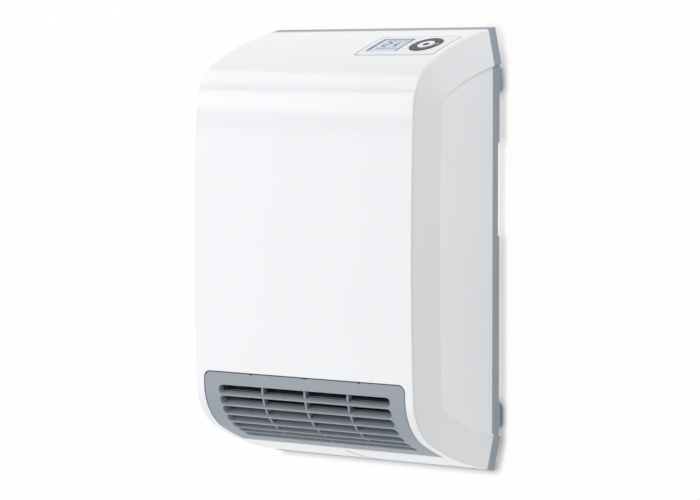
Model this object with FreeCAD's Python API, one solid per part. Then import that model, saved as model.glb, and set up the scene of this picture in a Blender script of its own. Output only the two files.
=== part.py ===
import FreeCAD, Part
import math
import os

os.makedirs("parts", exist_ok=True)
V = FreeCAD.Vector
X_AXIS = V(1, 0, 0)
Y_AXIS = V(0, 1, 0)
Z_AXIS = V(0, 0, 1)

# Overall size. The wall is the plane y = 0, the front faces -y, and z is measured from mid-height.
HEIGHT = 470.0
DEPTH = 147.0
SKIN_WIDTH = 298.0
HALF_HEIGHT = HEIGHT / 2
HALF_WIDTH = SKIN_WIDTH / 2

# Side section of the cover: bowed front, round shoulders, arched top and bottom.
FRONT_BOW_R = 3200.0
SHOULDER_R = 58.0
SHOULDER_DROP = 87.5
SHOULDER_Z = HALF_HEIGHT - SHOULDER_DROP
ARCH_R = 350.0
SEAM_Y = -16.0
SEAM_DROP = 2.6
SEAM_Z = HALF_HEIGHT - SEAM_DROP
COVER_WALL = 2.5

# Bevelled sides with a recessed panel.
BEVEL_IN = 37.0
BEVEL_OUT = 8.2
PANEL_RECESS = 2.2
RIM_LAND = 0.5
RIM_CORNER_R = 7.0
RIM_HALF = HALF_WIDTH + BEVEL_OUT
PANEL_HALF = RIM_HALF - PANEL_RECESS

# Fits between mouldings.
FLUSH_GAP = 0.5
SLIDE_GAP = 0.3
TOUCH_GAP = 0.1

# Rear housing.
RIM_BACK_Y = -4.0
WEB_FRONT_Y = -12.5
WEB_BACK_Y = -10.0
RIM_WALL = 2.6
LIP_FRONT_Y = -24.0
LIP_WALL = 2.0
LATCH_INSET = 19.0
LATCH_X = HALF_WIDTH - LATCH_INSET
LATCH_WIDTH = 10.0
LATCH_DEPTH = 2.4
LATCH_RISE = 6.0
FOOT_LENGTH = 24.0
FOOT_WIDTH = 6.0
FOOT_DROP = 55.0
FOOT_LIFT = 59.0
FOOT_Z = (HALF_HEIGHT - FOOT_DROP, FOOT_LIFT - HALF_HEIGHT)
RELIEF_LOW_Z = 15.0
RELIEF_DROP = 122.0
RELIEF_Z = (RELIEF_LOW_Z, HALF_HEIGHT - RELIEF_DROP)
RELIEF_DEPTH = 2.4

# Rear air intake: two columns of slots.
INTAKE_INSET = 57.0
INTAKE_GAP = 5.0
INTAKE_SLOT = (HALF_WIDTH - INTAKE_INSET, INTAKE_GAP)
INTAKE_PITCH = 10.0
INTAKE_ROWS = 12
INTAKE_X = INTAKE_SLOT[0] / 2 + 8.0
INTAKE_Z = 5.0

# Air outlet in the lower front curve.
OUTLET_CLEAR = 20.0
OUTLET_INSET = 11.0
OUTLET_WIDTH = SKIN_WIDTH - 2 * OUTLET_INSET
OUTLET_RISE = 101.0
OUTLET_TOP_Z = OUTLET_RISE - HALF_HEIGHT
OUTLET_LENGTH = 110.0
OUTLET_CORNER_R = 8.0
SLOT_ROWS = 7
SLOT_START = 14.0
SLOT_PITCH = 11.5
SLOT_HEIGHT = 9.3
SLOT_HALF = OUTLET_WIDTH / 2 - 21.0
SLOT_BREAK = 0.3
SLOT_RISE = 20.0
RIB_PITCH = SLOT_HALF / 2
RIB_WIDTH = 2.2
GRILLE_DEPTH = 14.0
GRILLE_SKIN = 3.0
GRILLE_FLANGE = 4.0
CLIP_PITCH = OUTLET_WIDTH / 2 - 64.0
CLIP_WIDTH = 6.0
GUARD_DEPTH = 4.0
GUARD_RIB = 1.6
GUARD_STRIP = 2.4

# Control panel on the arched top.
PANEL_INSET = 62.25
PANEL_X = HALF_WIDTH - PANEL_INSET
PANEL_Y = -0.3 - DEPTH / 2
PANEL_SIZE = (105.5, 56.4)
PANEL_CORNER_R = 4.0
PANEL_FLANGE = 2.5
PANEL_FLANGE_T = 1.5
PANEL_POST_INSET = 5.2
WINDOW_AT = (-24.0, 1.5)
LCD_FRAME = 3.0
WINDOW_SIZE = (42.5, 38.0)
WINDOW_T = 1.5
WINDOW_SINK = 0.8
RING_AT = (23.5, 1.2)
RING_R = 19.6
RING_HOLE_R = 20.2
KEY_R = 9.7
RING_INNER_R = 10.3
BED_Z = -6.0
BED_T = 1.5
PIVOT_R = 1.5
PIVOT_REACH = 15.0
STEM_R = 3.0
RUN_GAP = 0.06
BOARD_Z = -10.0
BOARD_T = 1.6
SWITCH_TOP = -8.45

# Air duct, set square to the outlet, and the tangential drum in it.
DUCT_ORIGIN = (-113.0, OUTLET_TOP_Z - 41.0)
DUCT_TILT = 38.0
DUCT_HALF = 31.0
DUCT_FRONT = 21.0
DUCT_INSET = (28.0, 66.0)
DUCT_X = (DUCT_INSET[0] - HALF_WIDTH, HALF_WIDTH - DUCT_INSET[1])
SHEET = 1.0
DRUM_AT = (80.0, 4.0)
DRUM_R = 25.0
DRUM_GAP = 3.0
BLADES = 12
BLADE_T = 0.9
BLADE_DEPTH = 9.0
BLADE_SWEEP = 16.0
DISC_T = 1.5
DRUM_END_GAP = 4.0
STUB_LENGTH = 15.0
BOSS_LENGTH = 7.0
SCROLL_AT = (79.0, 1.0)
SCROLL_R = 32.0
SCROLL_END = 75.0
SHAFT_R = 2.5
BOSS_R = 6.5
PLATE_EDGE = 3.0
PLATE_FOOT = 24.0
PLATE_FOLD = 12.0
BEARING_SIZE = 18.0
BEARING_LENGTH = 7.0

# Shaded-pole motor beside the duct.
MOTOR_X = DUCT_X[1] + 14.0
STACK = 20.0
STATOR_SIZE = (60.0, 52.0)
ROTOR_R = 12.6
AIR_GAP = 0.4
ROTOR_END_GAP = 1.0
BRIDGE_T = 5.0
BRIDGE_SIZE = (14.0, 56.0)
BRIDGE_FOOT = 8.0
LIMB = 8.0
LIMB_HALF = 26.0
WINDOW_DEPTH = 18.0
COIL_T = 7.0
CHEEK_T = 2.0

# Heating block.
HEATER_A = 27.0
HEATER_DEPTH = 15.0
FIN_HEIGHT = 15.0
BAR_HEIGHT = 6.0
FIN_PITCH = 14.0
FIN_T = 0.4
FIN_RISE = FIN_T * math.hypot(FIN_PITCH / 2, FIN_HEIGHT) / (FIN_PITCH / 2)
CAP_LENGTH = 8.0
CAP_EDGE = 2.0
CUTOUT_X = -40.0
CUTOUT = (20.0, 12.0, 7.0)
TAB = (6.0, 0.8, 7.0)

# Wall bracket.
BRACKET_T = 1.5
SCREW_INSET = (69.0, 85.0)
SCREW_SPACING = (SKIN_WIDTH - 2 * SCREW_INSET[0], HEIGHT - 2 * SCREW_INSET[1])
SCREW_HOLE_R = 2.75
RAIL_HEIGHT = 34.0
STRIP_WIDTH = 24.0
HOOK_X = 40.0
HOOK_WIDTH = 12.0
HOOK_RISE = 9.0

# Electronics on the rear wall.
POWER_BOARD = (120.0, 84.0)
POWER_INSET = (87.0, 107.0)
POWER_AT = (POWER_INSET[0] - HALF_WIDTH, HALF_HEIGHT - POWER_INSET[1])
POST_HEIGHT = 15.0
POST_WIDTH = 7.0
POST_INSET = 6.0
RELAY = (19.0, 15.0, 15.0)
RELAY_PITCH = 30.0
CAPACITOR = (26.0, 16.0, 10.0)
TERMINAL = (36.0, 18.0, 20.0)
TERMINAL_RISE = 52.0
WELL = 4.6
CLAMP = (30.0, 13.0, 10.0)
CLAMP_RISE = 22.0
SENSOR_INSET = 21.0
SENSOR_Z = -20.0
SENSOR_AT = (SENSOR_INSET - HALF_WIDTH, SENSOR_Z)
SENSOR_WIDTH = 5.0
SENSOR_REACH = 14.0
INLET_INSET = 37.0
INLET_Z = -20.0
INLET_AT = (HALF_WIDTH - INLET_INSET, INLET_Z)
INLET_SIZE = 16.0
GROMMET_FLANGE = 22.0
GROMMET_EDGE = 2.0
CORD_R = 4.2


def box(x0, x1, y0, y1, z0, z1):
    return Part.makeBox(x1 - x0, y1 - y0, z1 - z0, V(x0, y0, z0))


def rod(radius, start, end):
    return Part.makeCylinder(radius, (end - start).Length, start, end - start)


def save(shape, node):
    shape.exportStep("parts/" + node + ".step")


FRONT_CY = FRONT_BOW_R - DEPTH
SHOULDER_Y = FRONT_CY - math.sqrt((FRONT_BOW_R - SHOULDER_R) ** 2 - SHOULDER_Z ** 2)


def arch_centre():
    """Centre of the top arch, which runs smoothly out of the shoulder and ends on the seam."""
    dy = SEAM_Y - SHOULDER_Y
    dz = SEAM_Z - SHOULDER_Z
    span = math.hypot(dy, dz)
    inner = ARCH_R - SHOULDER_R
    along = (inner ** 2 - ARCH_R ** 2 + span ** 2) / (2 * span)
    across = math.sqrt(inner ** 2 - along ** 2)
    return (SHOULDER_Y + (along * dy + across * dz) / span, SHOULDER_Z + (along * dz - across * dy) / span)


ARCH_Y, ARCH_Z = arch_centre()
# Angles of the outward direction, from straight ahead, where the section's arcs meet.
FRONT_TURN = math.asin(SHOULDER_Z / (FRONT_BOW_R - SHOULDER_R))
ARCH_TURN = math.atan2(SHOULDER_Z - ARCH_Z, ARCH_Y - SHOULDER_Y)


def arch_z(inset, y):
    return ARCH_Z + math.sqrt((ARCH_R - inset) ** 2 - (y - ARCH_Y) ** 2)


def shoulder_centre(inset, radius):
    """Centre of a shoulder of that radius that runs into the bow and the arch, both moved in by inset."""
    to_bow = FRONT_BOW_R - inset - radius
    to_arch = ARCH_R - inset - radius
    dy = ARCH_Y - FRONT_CY
    span = math.hypot(dy, ARCH_Z)
    along = (to_bow ** 2 - to_arch ** 2 + span ** 2) / (2 * span)
    aside = math.sqrt(to_bow ** 2 - along ** 2)
    return FRONT_CY + (along * dy + aside * ARCH_Z) / span, (along * ARCH_Z - aside * dy) / span


def section(x, inset, y_back, corner_r):
    """Closed side outline at x, moved inwards by inset, with shoulders of corner_r, cut off at y_back."""
    arcs = []
    rear_turn = math.acos((ARCH_Y - y_back) / (ARCH_R - inset))
    cy, cz = shoulder_centre(inset, corner_r)
    front_turn = math.atan2(cz, FRONT_CY - cy)
    arch_turn = math.atan2(cz - ARCH_Z, ARCH_Y - cy)
    for cy, cz, r, start, end in (
        (ARCH_Y, ARCH_Z, ARCH_R - inset, rear_turn, arch_turn),
        (cy, cz, corner_r, arch_turn, front_turn),
        (FRONT_CY, 0.0, FRONT_BOW_R - inset, front_turn, -front_turn),
        (cy, -cz, corner_r, -front_turn, -arch_turn),
        (ARCH_Y, -ARCH_Z, ARCH_R - inset, -arch_turn, -rear_turn),
    ):
        turns = (start, (start + end) / 2, end)
        arcs.append(Part.Arc(*[V(x, cy - r * math.cos(t), cz + r * math.sin(t)) for t in turns]).toShape())
    z_end = arch_z(inset, y_back)
    arcs.append(Part.makeLine(V(x, y_back, -z_end), V(x, y_back, z_end)))
    return Part.Wire(arcs)


def prism(half, inset, y_back):
    return Part.Face(section(-half, inset, y_back, SHOULDER_R - inset)).extrude(V(2 * half, 0, 0))


def bevelled(wall, side_inset, side_half, y_back, corner_r):
    """Cover form moved in by wall: a prism with a ruled bevel on either side, down to corners of corner_r."""
    bevel_slope = BEVEL_OUT / BEVEL_IN
    half = HALF_WIDTH + wall * bevel_slope - wall * math.hypot(1, bevel_slope)
    inner = section(half, wall, y_back, SHOULDER_R - wall)
    right = Part.makeLoft([inner, section(side_half, side_inset, y_back, corner_r)], True, True)
    left = right.mirror(V(0, 0, 0), X_AXIS)
    return prism(half, wall, y_back).fuse([right, left]).removeSplitter()


def hollow(wall, y_back):
    """Inside of the cover at a given wall thickness."""
    bevel_slope = BEVEL_OUT / BEVEL_IN
    side_half = PANEL_HALF - wall
    side_inset = (side_half - HALF_WIDTH + wall * math.hypot(1, bevel_slope)) / bevel_slope
    return bevelled(wall, side_inset, side_half, y_back, SHOULDER_R - side_inset)


def cover_form():
    return bevelled(0, BEVEL_IN, RIM_HALF, SEAM_Y, RIM_CORNER_R)


def skin(inset_out, inset_in, half):
    return prism(half, inset_out, SEAM_Y).cut(prism(half, inset_in, SEAM_Y + 1))


# Places along the lower skin, measured down from the outlet's upper edge.
OUTLET_TURN = math.asin(-OUTLET_TOP_Z / FRONT_BOW_R)
FRONT_RUN = FRONT_BOW_R * (FRONT_TURN - OUTLET_TURN)
SHOULDER_RUN = FRONT_RUN + SHOULDER_R * (ARCH_TURN - FRONT_TURN)


def lower_skin(run):
    """Point of the lower skin and the outward direction there."""
    if run < FRONT_RUN:
        turn = OUTLET_TURN + run / FRONT_BOW_R
        cy, cz, r = FRONT_CY, 0.0, FRONT_BOW_R
    elif run < SHOULDER_RUN:
        turn = FRONT_TURN + (run - FRONT_RUN) / SHOULDER_R
        cy, cz, r = SHOULDER_Y, -SHOULDER_Z, SHOULDER_R
    else:
        turn = ARCH_TURN + (run - SHOULDER_RUN) / ARCH_R
        cy, cz, r = ARCH_Y, -ARCH_Z, ARCH_R
    out = V(0, -math.cos(turn), -math.sin(turn))
    return V(0, cy, cz) + out * r, out


def across(points, half):
    """Prism of an outline in the side plane, as wide as half either side."""
    face = Part.Face(Part.makePolygon(points + points[:1]))
    face.translate(V(-half, 0, 0))
    return face.extrude(V(2 * half, 0, 0))


def outlet_prism(grow):
    """Block that the outlet is cut with: square below, round corners above."""
    low, out = lower_skin(OUTLET_LENGTH + grow)
    top = OUTLET_TOP_Z + grow
    ahead = -DEPTH - OUTLET_CLEAR
    points = [
        V(0, ahead, top),
        V(0, -DEPTH + 2 * OUTLET_CLEAR, top),
        low - out * (2 * OUTLET_CLEAR),
        low + out * OUTLET_CLEAR,
        V(0, ahead, -HALF_HEIGHT - OUTLET_CLEAR),
    ]
    half = OUTLET_WIDTH / 2 + grow
    block = across(points, half)
    upper = [e for e in block.Edges if abs(e.BoundBox.ZMin - top) < 0.01 and e.BoundBox.XLength < 0.01
             and e.BoundBox.ZLength < 0.01]
    return block.makeFillet(max(OUTLET_CORNER_R + grow, 1.0), upper)


def front_cover():
    """One moulding: skin, bevels and recessed side panels, open at the back."""
    panel = Part.Face(section(PANEL_HALF, BEVEL_IN + RIM_LAND, SEAM_Y + 5, RIM_CORNER_R - RIM_LAND))
    pocket = panel.extrude(V(2 * BEVEL_OUT, 0, 0))
    shell = cover_form().cut([pocket, pocket.mirror(V(0, 0, 0), X_AXIS), hollow(COVER_WALL, SEAM_Y + 5)])
    shell = shell.cut(outlet_prism(0))
    shell = shell.cut(on_panel(rounded_plate(PANEL_SIZE, PANEL_CORNER_R, -12, 12)))
    for side in (-1, 1):
        shell = shell.cut(latch_block(side, 0))
    return shell.removeSplitter()


def latch_block(side, gap):
    """Place of a cover latch in the lower rear edge."""
    half = LATCH_WIDTH / 2 - gap
    x = side * LATCH_X
    return box(x - half, x + half, SEAM_Y - LATCH_DEPTH + gap, SEAM_Y + 1, -HEIGHT, LATCH_RISE - SEAM_Z)


PANEL_TURN = math.acos((ARCH_Y - PANEL_Y) / ARCH_R)
PANEL_TILT = 90 - math.degrees(PANEL_TURN)
PANEL_PLACE = FreeCAD.Placement(V(PANEL_X, PANEL_Y, arch_z(0, PANEL_Y)), FreeCAD.Rotation(X_AXIS, PANEL_TILT))


def on_panel(shape):
    """Moves a piece from panel terms (x across, y up the slope, z out) to its place."""
    placed = shape.copy()
    placed.Placement = PANEL_PLACE.multiply(placed.Placement)
    return placed


def plate_at(size, z0, z1, at=(0.0, 0.0)):
    return box(at[0] - size[0] / 2, at[0] + size[0] / 2, at[1] - size[1] / 2, at[1] + size[1] / 2, z0, z1)


def rounded_plate(size, radius, z0, z1, at=(0.0, 0.0)):
    plate = plate_at(size, z0, z1, at)
    upright = [e for e in plate.Edges if e.BoundBox.ZLength > (z1 - z0) / 2]
    return plate.makeFillet(radius, upright)


def tube(outer, inner, z0, z1, at):
    ring = Part.makeCylinder(outer, z1 - z0, V(at[0], at[1], z0))
    return ring.cut(Part.makeCylinder(inner, z1 - z0 + 2, V(at[0], at[1], z0 - 1)))


def control_panel():
    """Inset plate, flush with the top, with a flange below the cover and a cup for the keys."""
    inset = (PANEL_SIZE[0] - 2 * FLUSH_GAP, PANEL_SIZE[1] - 2 * FLUSH_GAP)
    wide = (PANEL_SIZE[0] + 2 * PANEL_FLANGE, PANEL_SIZE[1] + 2 * PANEL_FLANGE)
    flange_top = COVER_WALL + TOUCH_GAP
    half = HALF_WIDTH - COVER_WALL
    plug = skin(0, flange_top + PANEL_FLANGE_T, half).common(
        on_panel(rounded_plate(inset, PANEL_CORNER_R - FLUSH_GAP, -12, 12)))
    flange = skin(flange_top, flange_top + PANEL_FLANGE_T, half).common(on_panel(plate_at(wide, -12, 12)))
    cup_r = RING_HOLE_R + 2
    cup = tube(cup_r, RING_HOLE_R, BED_Z - BED_T, -2.5, RING_AT)
    bed = Part.makeCylinder(cup_r, BED_T, V(RING_AT[0], RING_AT[1], BED_Z - BED_T))
    sleeve = plate_at((2 * STEM_R + 4, 2 * STEM_R + 4), BED_Z - 2, BED_Z + 2.5, RING_AT)
    plate = plug.fuse(flange)
    plate = plate.cut(on_panel(Part.makeCylinder(RING_HOLE_R, 24, V(RING_AT[0], RING_AT[1], -12))))
    keys = cup.fuse([bed, sleeve])
    keys = keys.cut(Part.makeCylinder(STEM_R + RUN_GAP, 24, V(RING_AT[0], RING_AT[1], -14)))
    for side in (-1, 1):
        keys = keys.cut(plate_at((6, 6), BED_Z - 3, BED_Z + 1, (RING_AT[0] + side * PIVOT_REACH, RING_AT[1])))
    post_x = PANEL_SIZE[0] / 2 - PANEL_POST_INSET
    post_y = PANEL_SIZE[1] / 2 - PANEL_POST_INSET
    posts = [plate_at((5, 5), BOARD_Z, -3.2, (x, y)) for x in (-post_x, post_x) for y in (-post_y, post_y)]
    plate = plate.fuse(on_panel(keys)).fuse([on_panel(p) for p in posts])
    plate = plate.cut(on_panel(rounded_plate(WINDOW_SIZE, 2, -WINDOW_SINK - WINDOW_T - TOUCH_GAP, 12, WINDOW_AT)))
    lit = (WINDOW_SIZE[0] - 5, WINDOW_SIZE[1] - 5)
    plate = plate.cut(on_panel(plate_at(lit, -9, 12, WINDOW_AT)))
    return plate.removeSplitter()


def display_window():
    size = (WINDOW_SIZE[0] - 2 * SLIDE_GAP, WINDOW_SIZE[1] - 2 * SLIDE_GAP)
    return on_panel(rounded_plate(size, 1.7, -WINDOW_SINK - WINDOW_T, -WINDOW_SINK, WINDOW_AT))


def lcd_module():
    size = (WINDOW_SIZE[0] - 1, WINDOW_SIZE[1] - 1)
    frame = plate_at(size, BOARD_Z, -5.2, WINDOW_AT)
    glass = plate_at((size[0] - 2 * LCD_FRAME, size[1] - 2 * LCD_FRAME), -5.2, -4.4, WINDOW_AT)
    return on_panel(frame.fuse(glass))


def display_board():
    size = (PANEL_SIZE[0] - 4, PANEL_SIZE[1] - 3)
    return on_panel(plate_at(size, BOARD_Z - BOARD_T, BOARD_Z))


def key_switches():
    """Three low push switches: one under either side of the ring, one under the centre key."""
    solids = []
    for dx in (-PIVOT_REACH, 0.0, PIVOT_REACH):
        at = (RING_AT[0] + dx, RING_AT[1])
        base = plate_at((6, 6), BOARD_Z, SWITCH_TOP - 0.35, at)
        solids.append(on_panel(base.fuse(plate_at((3, 3), SWITCH_TOP - 0.35, SWITCH_TOP, at))))
    return Part.makeCompound(solids)


def control_ring():
    """Rocker ring on two pivot ribs with a pusher at either side."""
    outline = [
        V(RING_INNER_R, 0, -2.2),
        V(RING_R, 0, -2.2),
        V(RING_R, 0, 0.5),
        V(RING_INNER_R, 0, 0.5),
    ]
    ring = Part.Face(Part.makePolygon(outline + outline[:1])).revolve(V(0, 0, 0), Z_AXIS, 360)
    pivot_z = BED_Z + 0.05 + PIVOT_R
    for side in (-1, 1):
        y = side * PIVOT_REACH
        ring = ring.fuse(Part.makeCylinder(PIVOT_R, 4, V(0, y - 2, pivot_z), Y_AXIS))
        ring = ring.fuse(box(-PIVOT_R, PIVOT_R, y - 2, y + 2, pivot_z, -2.0))
        ring = ring.fuse(plate_at((3.4, 3.4), -8, -2, (y, 0)))
    ring.translate(V(RING_AT[0], RING_AT[1], 0))
    return on_panel(ring.removeSplitter())


def centre_key():
    """White push disc on a guided stem."""
    outline = [
        V(0, 0, -7.85),
        V(STEM_R, 0, -7.85),
        V(STEM_R, 0, -1.8),
        V(KEY_R, 0, -1.8),
        V(KEY_R, 0, 0.3),
        V(0, 0, 0.3),
    ]
    key = Part.Face(Part.makePolygon(outline + outline[:1])).revolve(V(0, 0, 0), Z_AXIS, 360)
    key.translate(V(RING_AT[0], RING_AT[1], 0))
    return on_panel(key)


def slot_wall(run, half, tall):
    """Wedge above or below the slot rows, square to the moulding's draw direction."""
    point, out = lower_skin(run)
    draw = V(0, math.cos(math.radians(SLOT_RISE)), math.sin(math.radians(SLOT_RISE)))
    near = point - draw * 20
    far = point + draw * 40
    return across([near, far, far + V(0, 0, tall), near + V(0, 0, tall)], half)


def outlet_grille():
    """Curved louvre plate: slots drawn through a thick curved band, hollowed behind its margins."""
    half = OUTLET_WIDTH / 2 + GRILLE_FLANGE + 2
    plate = skin(0.2, GRILLE_DEPTH, half).common(outlet_prism(-FLUSH_GAP))
    margin = skin(GRILLE_SKIN, GRILLE_DEPTH + 1, half)
    side = SLOT_HALF + RIB_WIDTH
    cuts = []
    for sign in (-1, 1):
        cuts.append(box(min(sign * side, sign * half), max(sign * side, sign * half), -DEPTH, 0, -HALF_HEIGHT, 0))
    cuts.append(slot_wall(SLOT_START - RIB_WIDTH, half, 80))
    last = SLOT_START + (SLOT_ROWS - 1) * SLOT_PITCH + SLOT_HEIGHT
    cuts.append(slot_wall(last + RIB_WIDTH, half, -80))
    plate = plate.cut([margin.common(c) for c in cuts])
    flange = skin(COVER_WALL + TOUCH_GAP, COVER_WALL + TOUCH_GAP + 2, half)
    flange = flange.common(outlet_prism(GRILLE_FLANGE)).cut(outlet_prism(-3))
    plate = plate.fuse(flange)
    draw = V(0, math.cos(math.radians(SLOT_RISE)), math.sin(math.radians(SLOT_RISE)))
    ribs = [box(n * RIB_PITCH - RIB_WIDTH / 2, n * RIB_PITCH + RIB_WIDTH / 2, -DEPTH - OUTLET_CLEAR, 0, -HEIGHT, 0)
            for n in (-1, 0, 1)]
    slots = []
    for row in range(SLOT_ROWS):
        high = lower_skin(SLOT_START + row * SLOT_PITCH)[0]
        low = lower_skin(SLOT_START + row * SLOT_PITCH + SLOT_HEIGHT)[0]
        slot = across([high - draw * 12, low - draw * 12, low + draw * 34, high + draw * 34], SLOT_HALF)
        ends = [e for e in slot.Edges if e.BoundBox.XLength < 0.01 and e.Length > 40]
        clear = abs((high - low).dot(V(0, -draw.z, draw.y)))
        slots.append(slot.makeChamfer(SLOT_BREAK * clear, ends).cut(ribs))
    plate = plate.cut(slots)
    notch_z = OUTLET_TOP_Z - FLUSH_GAP
    notches = [box(x - CLIP_WIDTH / 2, x + CLIP_WIDTH / 2, -DEPTH - 5, -DEPTH + COVER_WALL, notch_z - 1.2,
                   notch_z + 0.2) for x in (-CLIP_PITCH, 0, CLIP_PITCH)]
    return plate.cut(notches).removeSplitter()


def finger_guard():
    """Guard behind the louvres: curved ribs between the grille's own ribs, tied by strips behind the blades."""
    start = GRILLE_DEPTH + TOUCH_GAP
    band = skin(start, start + GUARD_DEPTH, SLOT_HALF).common(outlet_prism(-9))
    ribs = [band.common(box(n * RIB_PITCH / 2 - GUARD_RIB / 2, n * RIB_PITCH / 2 + GUARD_RIB / 2,
                            -DEPTH, 0, -HALF_HEIGHT, 0)) for n in (-3, -1, 1, 3)]
    strips = []
    for row in (0, SLOT_ROWS // 2, SLOT_ROWS - 1):
        point, out = lower_skin(SLOT_START + row * SLOT_PITCH + SLOT_HEIGHT - GUARD_STRIP)
        along = V(0, -out.z, out.y) * (GUARD_STRIP / 2)
        near = point - out * (start + (GUARD_DEPTH - GUARD_STRIP) / 2)
        far = near - out * GUARD_STRIP
        strips.append(across([near - along, near + along, far + along, far - along], SLOT_HALF))
    return ribs[0].fuse(ribs[1:] + strips).removeSplitter()


def rim_outline(y):
    """Outline of the rear housing at depth y, in step with the cover's rear edge."""
    rise = (y - SEAM_Y) * (HALF_HEIGHT - SEAM_Z) / (RIM_BACK_Y - SEAM_Y)
    z_top = SEAM_Z + rise
    z_rim = arch_z(BEVEL_IN, SEAM_Y) + rise
    right = [
        V(HALF_WIDTH, y, z_top),
        V(RIM_HALF, y, z_rim),
        V(RIM_HALF, y, z_rim - RIM_LAND),
        V(PANEL_HALF, y, z_rim - RIM_LAND),
    ]
    right += [V(p.x, y, -p.z) for p in reversed(right)]
    left = [V(-p.x, y, p.z) for p in reversed(right)]
    return Part.makePolygon(right + left + right[:1])


def rim_inside(y0, y1):
    z_top = SEAM_Z - RIM_WALL
    z_rim = arch_z(BEVEL_IN, SEAM_Y) - RIM_WALL
    side = PANEL_HALF - RIM_WALL
    top = HALF_WIDTH - RIM_WALL
    points = [V(top, y0, z_top), V(side, y0, z_rim), V(side, y0, -z_rim), V(top, y0, -z_top)]
    points += [V(-p.x, y0, p.z) for p in reversed(points)]
    return Part.Face(Part.makePolygon(points + points[:1])).extrude(V(0, y1 - y0, 0))


def rear_housing():
    """Shallow tray: rim, web with the intake slots, lip inside the cover, feet, posts and latches."""
    tray = Part.makeLoft([rim_outline(SEAM_Y), rim_outline(RIM_BACK_Y)], True, True)
    tray = tray.cut([rim_inside(SEAM_Y - 1, WEB_FRONT_Y), rim_inside(WEB_BACK_Y, 1)])
    fit = COVER_WALL + SLIDE_GAP
    lip = hollow(fit, WEB_FRONT_Y).cut(hollow(fit + LIP_WALL, WEB_FRONT_Y + 1))
    lip = lip.common(box(-RIM_HALF, RIM_HALF, LIP_FRONT_Y, WEB_FRONT_Y, -HEIGHT, HEIGHT))
    tray = tray.fuse(lip)
    edge = cover_form().cut(hollow(COVER_WALL - SLIDE_GAP, SEAM_Y + 1))
    for side in (-1, 1):
        tray = tray.fuse(edge.common(latch_block(side, SLIDE_GAP)))
        x = side * (PANEL_HALF - FOOT_WIDTH / 2 - 0.5)
        for z in FOOT_Z:
            tray = tray.fuse(box(x - FOOT_WIDTH / 2, x + FOOT_WIDTH / 2, WEB_FRONT_Y, 0,
                                 z - FOOT_LENGTH / 2, z + FOOT_LENGTH / 2))
        relief = box(PANEL_HALF - RIM_WALL - 1, RIM_HALF + 1, RIM_BACK_Y - RELIEF_DEPTH, 0, *RELIEF_Z)
        tray = tray.cut(relief if side > 0 else relief.mirror(V(0, 0, 0), X_AXIS))
    slots = []
    for row in range(INTAKE_ROWS):
        z = INTAKE_Z + (row - (INTAKE_ROWS - 1) / 2) * INTAKE_PITCH
        for x in (-INTAKE_X, INTAKE_X):
            slots.append(box(x - INTAKE_SLOT[0] / 2, x + INTAKE_SLOT[0] / 2, WEB_FRONT_Y - 1, WEB_BACK_Y + 1,
                             z - INTAKE_SLOT[1] / 2, z + INTAKE_SLOT[1] / 2))
    for x in (-HOOK_X, HOOK_X):
        for z in (-SCREW_SPACING[1] / 2, SCREW_SPACING[1] / 2):
            slots.append(box(x - HOOK_WIDTH / 2 - 1, x + HOOK_WIDTH / 2 + 1, WEB_FRONT_Y - 1, WEB_BACK_Y + 1,
                             z - HOOK_RISE - 4, z + BRACKET_T + TOUCH_GAP))
    half = INLET_SIZE / 2
    slots.append(box(INLET_AT[0] - half, INLET_AT[0] + half, WEB_FRONT_Y - 1, 0,
                     INLET_AT[1] - half, INLET_AT[1] + half))
    tray = tray.cut(slots)
    for x, z in board_corners():
        tray = tray.fuse(box(x - POST_WIDTH / 2, x + POST_WIDTH / 2, WEB_FRONT_Y - POST_HEIGHT, WEB_FRONT_Y,
                             z - POST_WIDTH / 2, z + POST_WIDTH / 2))
    return tray.removeSplitter()


def board_corners():
    half_x = POWER_BOARD[0] / 2 - POST_INSET
    half_z = POWER_BOARD[1] / 2 - POST_INSET
    return [(POWER_AT[0] + sx * half_x, POWER_AT[1] + sz * half_z) for sx in (-1, 1) for sz in (-1, 1)]


def wall_bracket():
    """Pressed frame: two rails, two strips, four screw holes and four upturned hooks."""
    half_x = SCREW_SPACING[0] / 2
    half_z = SCREW_SPACING[1] / 2
    edge_x = half_x + STRIP_WIDTH / 2
    edge_z = half_z + RAIL_HEIGHT / 2
    plate = box(-edge_x, edge_x, -BRACKET_T, 0, -edge_z, edge_z)
    window = box(-half_x + STRIP_WIDTH / 2, half_x - STRIP_WIDTH / 2, -BRACKET_T - 1, 1,
                 -half_z + RAIL_HEIGHT / 2, half_z - RAIL_HEIGHT / 2)
    plate = plate.cut(window)
    for x in (-half_x, half_x):
        for z in (-half_z, half_z):
            plate = plate.cut(rod(SCREW_HOLE_R, V(x, -BRACKET_T - 1, z), V(x, 1, z)))
    tip_y = WEB_FRONT_Y - SLIDE_GAP
    for x in (-HOOK_X, HOOK_X):
        for z in (-half_z, half_z):
            x0 = x - HOOK_WIDTH / 2
            x1 = x + HOOK_WIDTH / 2
            tongue = box(x0, x1, tip_y - BRACKET_T, 0, z, z + BRACKET_T)
            tip = box(x0, x1, tip_y - BRACKET_T, tip_y, z, z + HOOK_RISE)
            plate = plate.fuse([tongue, tip])
    return plate.removeSplitter()


DUCT_PLACE = FreeCAD.Placement(V(0, DUCT_ORIGIN[0], DUCT_ORIGIN[1]), FreeCAD.Rotation(X_AXIS, DUCT_TILT))


def in_duct(shape):
    """Moves a piece from duct terms (y inwards against the flow, z across it) to its place."""
    placed = shape.copy()
    placed.Placement = DUCT_PLACE.multiply(placed.Placement)
    return placed


def arc_points(centre, radius, start, end):
    """Three points of an arc in the side plane, by angle from straight inwards."""
    turns = [math.radians(start + (end - start) * part) for part in (0.0, 0.5, 1.0)]
    return [centre + V(0, radius * math.cos(turn), radius * math.sin(turn)) for turn in turns]


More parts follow.
